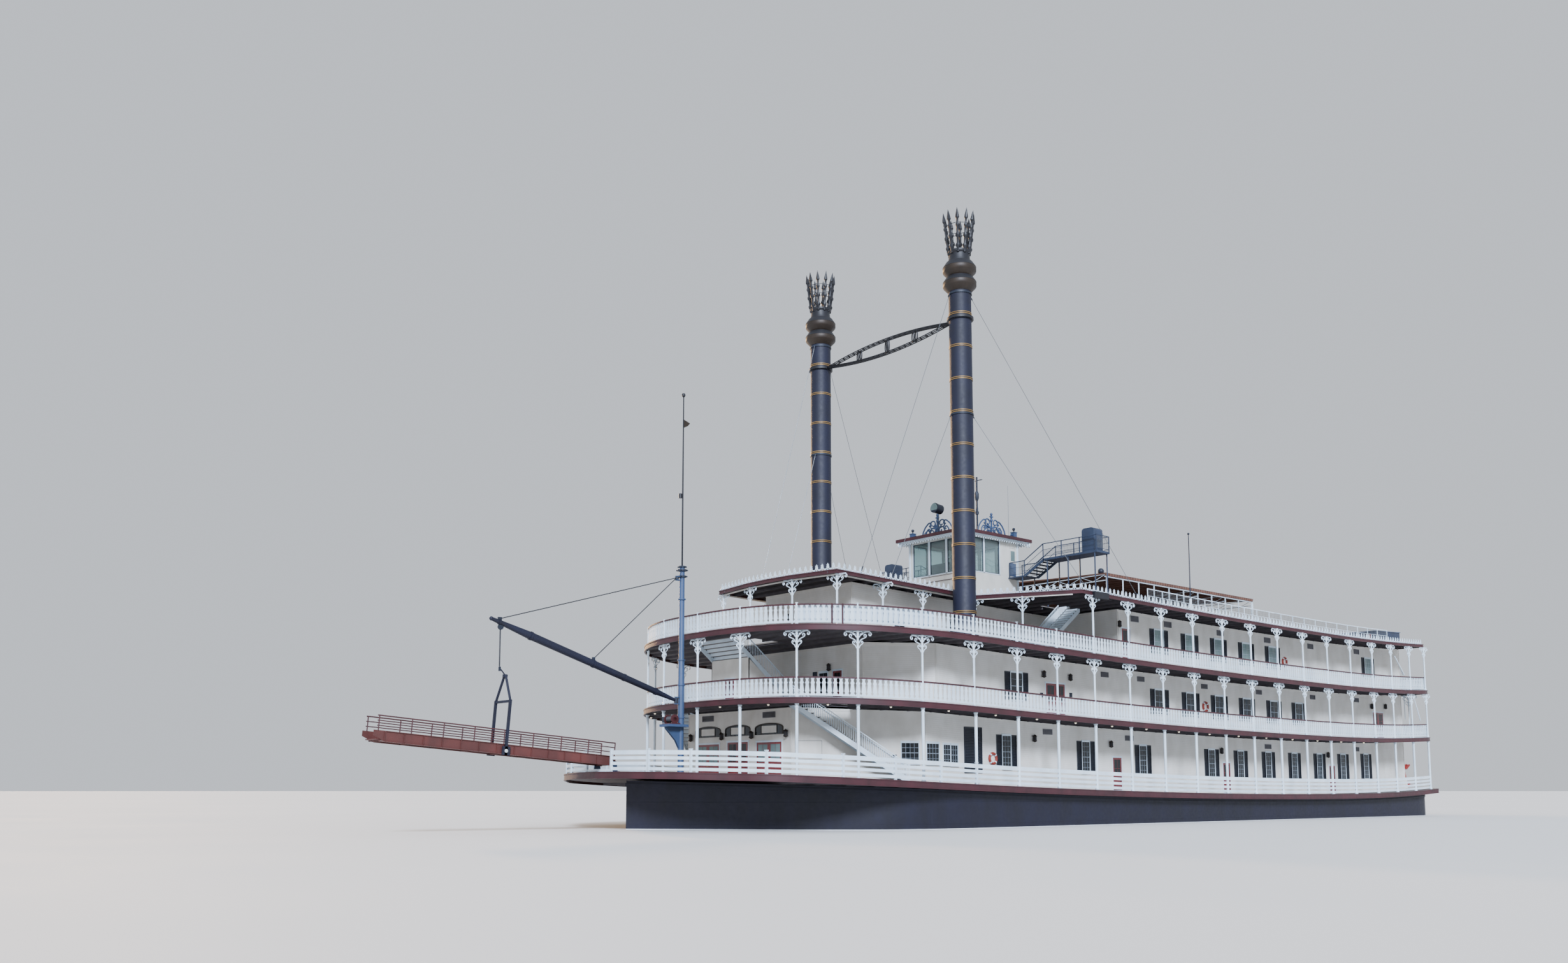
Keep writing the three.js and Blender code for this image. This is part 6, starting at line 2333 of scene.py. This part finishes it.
    def boom(self) -> None:
        """Builds the tapered boom, its forked heel, its blocks and its wires."""
        kit = Kit("boom", "boom")
        spar, dark, wire = kit.of(NAVY), kit.of(DARK_STEEL), kit.of(TARRED)
        for z, reach in ((self.heel, 14), (self.lift, 6)):
            low, high = z - reach, z + reach
            dark.turned([(6.2, low), (11, low), (11, high), (6.2, high), (6.2, low)], (self.axis, 0), 20)
        for start, end, thick, sides, thin in ((0.008, 0.12, 9, 16, 17), (0.119, 0.5, 17, 24, 20),
                                               (0.5, 0.8, 20, 24, 21), (0.799, 1, 21, 24, 9)):
            spar.rod(self.along(start), self.along(end), thick, sides, thin)
        spar.ball(self.along(0.996), 11)
        for share, radius in self.FITTINGS:
            spar.rod(self.along(share - 0.005), self.along(share + 0.005), radius, 24)
        for share, drop, size, slack in ((0.955, -18, 10, 0), (0.47, -28, 8, 3)):
            top = self.along(share, drop)
            dark.box((top.x - size, top.x + size), (-5, 5), (top.z - 12, top.z + 8))
            wire.rod((self.axis + 9, 0, self.lift - slack), top, 2.6, 6)
        x, apex = self.HOOK
        under = self.along((x - self.axis) / (self.tip[0] - self.axis), 2)
        wire.rod(under, (x, 0, apex + 20), 2.4, 6)
        wire.rod((under.x + 4, 0, under.z), (x + 4, 0, apex + 24), 1.2, 6)
        for y in (-5, 2):
            dark.rod((x, y, under.z - 20), (x, y + 3, under.z - 20), 15, 16)
        dark.box((x - 5, x + 5), (-4, 4), (apex, apex + 22))
        kit.done("boom")

    def stage(self) -> None:
        """Builds the landing stage: girders, planks, three-bar rails and the bridle."""
        drawn = Kit("drawn")
        red, rail = drawn.of(STAGE_RED), drawn.of(RAIL_RED)
        side, length, plank = self.half - 6, self.length, self.PLANK
        girder = [(-18, -9), (length - 60, -9), (length, 16), (length, 42), (-18, 42)]
        red.rod((0, -88, 0), (0, 88, 0), 6, 16)
        for k in range(int((length + 10) / plank)):
            red.box((k * plank - 16, k * plank), (6 - side, side - 6), (-3, 2))
        for k in range(9):
            red.box((k * 160 + 12, k * 160 + 18), (6 - side, side - 6), (-9, -3))
        for hand in (-1, 1):
            y = hand * side
            red.plate(girder, handed(hand, side - 2, side + 1), frame=UPENDED)
            for low in (-9, 39):
                red.box((-18, length - 62), handed(hand, side - 5, side + 6), (low, low + 3))
            for k in range(14):
                red.box((k * 98, k * 98 + 3), handed(hand, side, side + 6), (-8, 40))
            for k in range(9):
                x = k * (length - 14) / 8 - 8
                rail.rod((x, y, 40), (x, y, 114), 3.2)
            for level, thick in self.RAIL_BARS:
                rail.rod((-10, y, level), (length - 14, y, level), thick)
        self.bridle(drawn, self.BRIDLE - self.hinge[0])
        turn = Matrix.Rotation(math.radians(-self.slope), 4, "Y")
        tilt = Matrix.Translation((self.hinge[0], 0, self.hinge[1] - 4)) @ turn
        Kit("landing_stage", "stage").repeat(drawn, [tilt]).done("landing_stage")

    def bridle(self, kit: Kit, x: float) -> None:
        """Adds the bridle that stands on the stage, under the boom's hook.

        Args:
            kit: The stage's kit.
            x: The bridle's distance from the hinge.
        """
        form, side = kit.of(NAVY), self.half + 4
        for hand in (-1, 1):
            form.box((x - 7, x + 7), handed(hand, side - 5, side + 5), (-14, 268))
            form.rod((x, hand * side, 262), (x + 2, hand * 5, 398), 6.5, 10)
            form.box((x - 22, x + 22), handed(hand, side, side + 5), (-14, 30))
            kit.of(MARK_WHITE).rod((x, hand * (side + 5), 8), (x, hand * (side + 6), 8), 9, 16)
        form.box((x - 5, x + 5), (-side, side), (254, 266)).box((x - 8, x + 12), (-9, 9), (384, 400))
        form.rod((x + 2, 0, 396), (x + 31, 0, 424), 3.5)

    def build(self) -> None:
        """Builds everything on the foredeck."""
        self.jackmast()
        self.winch()
        self.boom()
        self.stage()


class SternWheels:
    """Hubs and bolts on the paddle wheels, and bearings on the beams that carry them."""

    CENTRE = (-3480, 480)           # X and Z of the shaft
    HUBS = (85, 515)                # the hubs' distances from the centreline
    BOLT_RINGS = (298, 344)
    ARMS = 12

    def hub(self, kit: Kit, hand: int, y: float) -> None:
        """Adds one hub, and the pairs of bolts on the arms beside it.

        Args:
            hand: 1 to port and -1 to starboard.
            y: The hub's distance from the centreline.
        """
        x, z = self.CENTRE
        bolt = kit.of(DARK_STEEL).rod((x, hand * (y - 14), z), (x, hand * (y + 14), z), 34, 24)
        kit.of(WHEEL_RED).rod((x, hand * (y - 8), z), (x, hand * (y + 8), z), 56, 32)
        for u, w in circle(1, self.ARMS):
            for reach in self.BOLT_RINGS:
                for shift in (-2.6, 2.6):
                    bolt_x, bolt_z = x + reach * u + shift * w, z - reach * w + shift * u
                    bolt.rod((bolt_x, hand * (y - 6.5), bolt_z), (bolt_x, hand * (y + 6.5), bolt_z), 2.2, 6)

    def build(self) -> None:
        """Trims both wheels and the beams."""
        for side, hand in (("port", 1), ("starboard", -1)):
            kit = Kit(f"{side}_wheel_hubs", f"{side}_wheel")
            for y in self.HUBS:
                self.hub(kit, hand, y)
            kit.done()
        kit, (x, z) = Kit("wheel_bearings"), self.CENTRE
        for y in (0, 600, -600):
            kit.of(DARK_STEEL).box((x - 34, x + 34), (y - 28, y + 28), (z + 51, z + 60))
            for dx in (-24, 24):
                kit.of(DARK_STEEL).rod((x + dx, y, z + 60), (x + dx, y, z + 68), 6, 6)
        kit.done()


class Roof:
    """What stands on the hurricane roof and under its edge."""

    COLUMNS = [(3440, 197), (3388, 530), (3010, 522), (2665, 522), (2215, 522), (2085, 820)]
    BEAM = [(1960, 1110), (2215, 522), (3388, 530), (3440, 197)]
    CREST_PITCH = 42
    AWNING = (-700, 1180)           # its after and forward edge
    AWNING_HALF = 800
    AWNING_LOW = 1868
    AWNING_RIDGE = 1900
    AWNING_RIBS = 21
    LATTICE_PITCH = 99
    RAIL = (-2200, 1180)            # the side rails' after and forward end
    RAIL_LINE = 1120
    RAIL_BAYS = 20

    # The stern braces' runs in X and Z, by their distance from the centreline
    BRACES = ((1160, (((-2229, 1511), (-2389, 1366)), ((-2534, 1204), (-2643, 1000)))),
              (920, (((-2762, 1566), (-2907, 1414)), ((-2904, 1243), (-2905, 1029)))))

    def columns(self) -> None:
        """Stands the round columns at the roof's forward end, with their brackets and beam."""
        kit, path = Kit("roof_columns"), self.BEAM + mirrored(self.BEAM)[::-1]
        kit.of(PANEL).band(path, 6, (TEXAS.under - 8, TEXAS.under))
        spots = [(x, side * y) for x, y in self.COLUMNS for side in (1, -1)]
        kit.of(WHITE).repeat(Gallery.column(TEXAS), [standing(x, y, TEXAS.base(x)) for x, y in spots])
        places = []
        for x, y in spots:
            _, a, b = min((math.dist(b, (x, y)) + math.dist(a, (x, y)), a, b) for a, b in zip(path, path[1:]))
            heading = math.atan2(b[1] - a[1], b[0] - a[0])
            places += [standing(x, y, TEXAS.ceiling(x), heading + turn) for turn in (0, math.pi)]
        kit.of(WHITE).repeat(Gallery.bracket(), places)
        kit.done("texas_roof_columns")

    def cresting(self) -> None:
        """Runs a cresting of stars and crescents round the roof's edge."""
        unit, reaches = Form(), (11.5, 5.2)
        star = [(reaches[k % 2] * math.sin(math.pi * k / 5), 31 + reaches[k % 2] * math.cos(math.pi * k / 5))
                for k in range(10)]
        unit.plate(star, (-1.6, 1.6), frame=UPENDED)
        unit.bar((0, 0, 0), (0, 0, 24), 3.2, 4).box((-21, 21), (-2, 2), (0, 3))
        for side in (1, -1):
            unit.tube([(side * (21 - 15 * math.cos(t)), 0, 20 - 14 * math.sin(t))
                       for t in np.linspace(-0.5, 1.57, 6)], 2.8, 5)
        unit.ball((21, 0, 9), 4, 4)
        half = offset(both_sides(ROOF_HALF), 6, True)[:len(ROOF_HALF) - 1]
        kit = Kit("cresting")
        kit.of(WHITE).repeat(unit, [
            standing(x, y, ROOF_LEVEL + sheer(x) - 0.5, heading + math.pi)
            for x, y, heading in stations(half, self.CREST_PITCH, self.CREST_PITCH / 2)])
        kit.mirror().done()

    def awning_frame(self) -> None:
        """Builds the awning's brown ribs, its white posts and the lattices between them."""
        (aft, front), half, low, ridge = self.AWNING, self.AWNING_HALF, self.AWNING_LOW, self.AWNING_RIDGE
        kit = Kit("awning_frame")
        wood, brown, tie = kit.of(WHITE), kit.of(AWNING_CLOTH), low - 42
        for x in np.linspace(aft + 4, front - 4, self.AWNING_RIBS):
            for side in (1, -1):
                brown.bar((x, 0, ridge + 1), (x, side * (half - 2), low + 1), 5, 7)
        for side in (1, -1):
            y = side * (half - 8)
            wood.rod((aft + 20, y, low - 16), (front - 2, y, low - 16), 5)
            brown.box((aft + 10, front), handed(side, half - 5, half), (low - 12, low + 7))
            for x in np.linspace(aft + 20, front - 20, 11):
                wood.bar((x, y, ROOF_LEVEL + sheer(x)), (x, y, low), 6, 6)
            wood.tube([(aft + 60, y, low + 4), (aft + 22, y, low), (aft + 6, y, low - 16), (aft + 3, y, tie),
                       (aft + 3, y, ROOF_LEVEL + sheer(aft))], 5, 8)
        for x in (front - 6, 60, -320, aft + 6):
            for z in (low - 2, tie):
                wood.bar((x, 8 - half, z), (x, half - 8, z), 5, 5)
            for k in range(16):
                y, ends = 8 - half + k * self.LATTICE_PITCH, (tie, low - 2) if k % 2 else (low - 2, tie)
                wood.bar((x, y, ends[0]), (x, y + self.LATTICE_PITCH, ends[1]), 3, 3)
        kit.done("awning")

    def awning(self) -> None:
        """Stretches the awning over its frame."""
        (aft, front), half, low, ridge = self.AWNING, self.AWNING_HALF, self.AWNING_LOW, self.AWNING_RIDGE
        profile = [(y, low + 6 + (ridge - low) * (1 - abs(y) / half) - 3 * math.sin(math.pi * abs(y) / half))
                   for y in np.linspace(-half, half, 25)]
        section = profile + [(y, z + 2) for y, z in reversed(profile)]
        cloth = Form().plate(section, (aft, front), frame=SIDEWISE)
        piece = cloth.finished("awning_cloth", AWNING_CLOTH)
        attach(piece, "boat")

    def rails(self) -> None:
        """Builds the roof's side rails with their mesh."""
        kit, (aft, front), line = Kit("roof_rails"), self.RAIL, self.RAIL_LINE
        white, step = kit.of(WHITE), (front - aft) / self.RAIL_BAYS
        for k in range(self.RAIL_BAYS + 1):
            x, base = aft + k * step, ROOF_LEVEL + sheer(aft + k * step)
            white.bar((x, line, base), (x, line, base + 103), 4.5, 4.5)
            if k == self.RAIL_BAYS:
                break
            rise = sheer(x + step) - sheer(x)
            for lift, thick in ((100, 5), (55, 2.5), (10, 3)):
                white.bar((x, line, base + lift), (x + step, line, base + rise + lift), thick, thick)
            frame = Matrix(((1, 0, 0, x), (0, 1, 0, line), (rise / step, 0, 1, base), (0, 0, 0, 1)))
            grille(kit.of(GALVANISED), (2, step - 2), (11, 99), 11, frame, 0.45)
        kit.mirror().done("port_roof_rail", "starboard_roof_rail")

    def oddments(self) -> None:
        """Adds the flagpole, the dark box on the shoulder, the deckhouse's windows and the stern braces."""
        kit, base = Kit("roof_fittings"), ROOF_LEVEL + sheer(680)
        white, dark = kit.of(WHITE), kit.of(DARK_STEEL)
        white.rod((680, 1120, base), (680, 1120, base + 90), 9, 10)
        dark.rod((680, 1120, base + 90), (678, 1120, 2150), 4, 8, 3).ball((678, 1120, 2156), 8, 6)
        kit.of(SOOT).box((1690, 1836), (1163, 1184), (1600, 1640))
        house = Facade((-2260, 0), (-2260, -1), ROOF_LEVEL)
        kit.hang(board(46, 40, DOOR_RED), house, 50, -940, -780, 780, 940)
        lid = [(-2706, -1006), (-2254, -1006), (-2254, 1006), (-2706, 1006)]
        kit.of(STEEL).plate(lid, (ROOF_LEVEL + 110, ROOF_LEVEL + 115)).follow_sheer()
        dark.ball((1080, 690, 1909), 22)
        for side in (1, -1):
            for y, runs in self.BRACES:
                for (x0, z0), (x1, z1) in runs:
                    white.bar((x0, side * y, z0), (x1, side * y, z1), 6, 6)
        kit.done()

    def build(self) -> None:
        """Builds the roof's pieces."""
        self.columns()
        self.cresting()
        self.awning_frame()
        self.awning()
        self.rails()
        self.oddments()


def deck_lamps() -> None:
    """Sets round lamps under the edge of the boiler deck, midway between its columns."""
    kit = Kit("deck_lamps")
    spots = [bow_point(degrees, 34) for degrees in (5, 21, 40, 59, 76)]
    spots += [(FIRST_COLUMN - (i - 0.5) * COLUMN_PITCH, COLUMN_LINE - 12) for i in range(SIDE_COLUMNS)]
    for x, y in spots:
        z = MAIN.ceiling(x)
        kit.of(LAMP).turned([(0, z - 9), (4, z - 8), (6.5, z - 4), (7, z), (0, z)], (x, y), 12)
        kit.of(BRONZE).collar(9, (z - 3, z + 0.5), (x, y), 12)
    kit.mirror().done()


def main() -> None:
    """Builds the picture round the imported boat."""
    logging.basicConfig(level=logging.INFO, format="%(message)s")
    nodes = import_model()["nodes"]
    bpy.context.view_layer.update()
    for part in (Studio(), Hull(), Decks()):
        part.build()
    for storey, tall_from in ((BOILER, 5000), (TEXAS, 1900)):
        Gallery(storey, tall_from).build(
            *(f"{storey.name}_deck_{place}_columns" for place in ("port", "starboard", "bow", "stern")))
    for part in (BowFence(), Houses(), Stairs(), Pilothouse(), BridgeWings(), Stacks(), Foredeck(),
                 SternWheels(), Roof()):
        part.build()
    deck_lamps()
    walls = [f"{deck}_house_{part}" for deck in ("boiler", "texas") for part in ("front", "sides")]
    side_doors = [f"{side}_side_door_{end}" for side in ("port", "starboard") for end in ("fore", "aft")]
    for finish, *names in (
            (SIDING, *walls, "main_house_port_side", "main_house_starboard_side", "main_house_stern"),
            (PANEL, "main_house_front", "wheel_beams"), (PILOT_CREAM, "pilothouse_walls", "pilothouse_door"),
            (OXBLOOD, "pilothouse_roof"), (STEEL, "stage_hinge"), (SLATE, "aft_deckhouse"),
            (WHEEL_RED, "port_paddle_wheel", "starboard_paddle_wheel"),
            (HULL_NAVY, "port_rudder", "starboard_rudder"),
            (DOOR_RED, "front_door_port", "front_door_starboard", *side_doors)):
        dress(nodes, finish, *names)


if __name__ == "__main__":
    main()
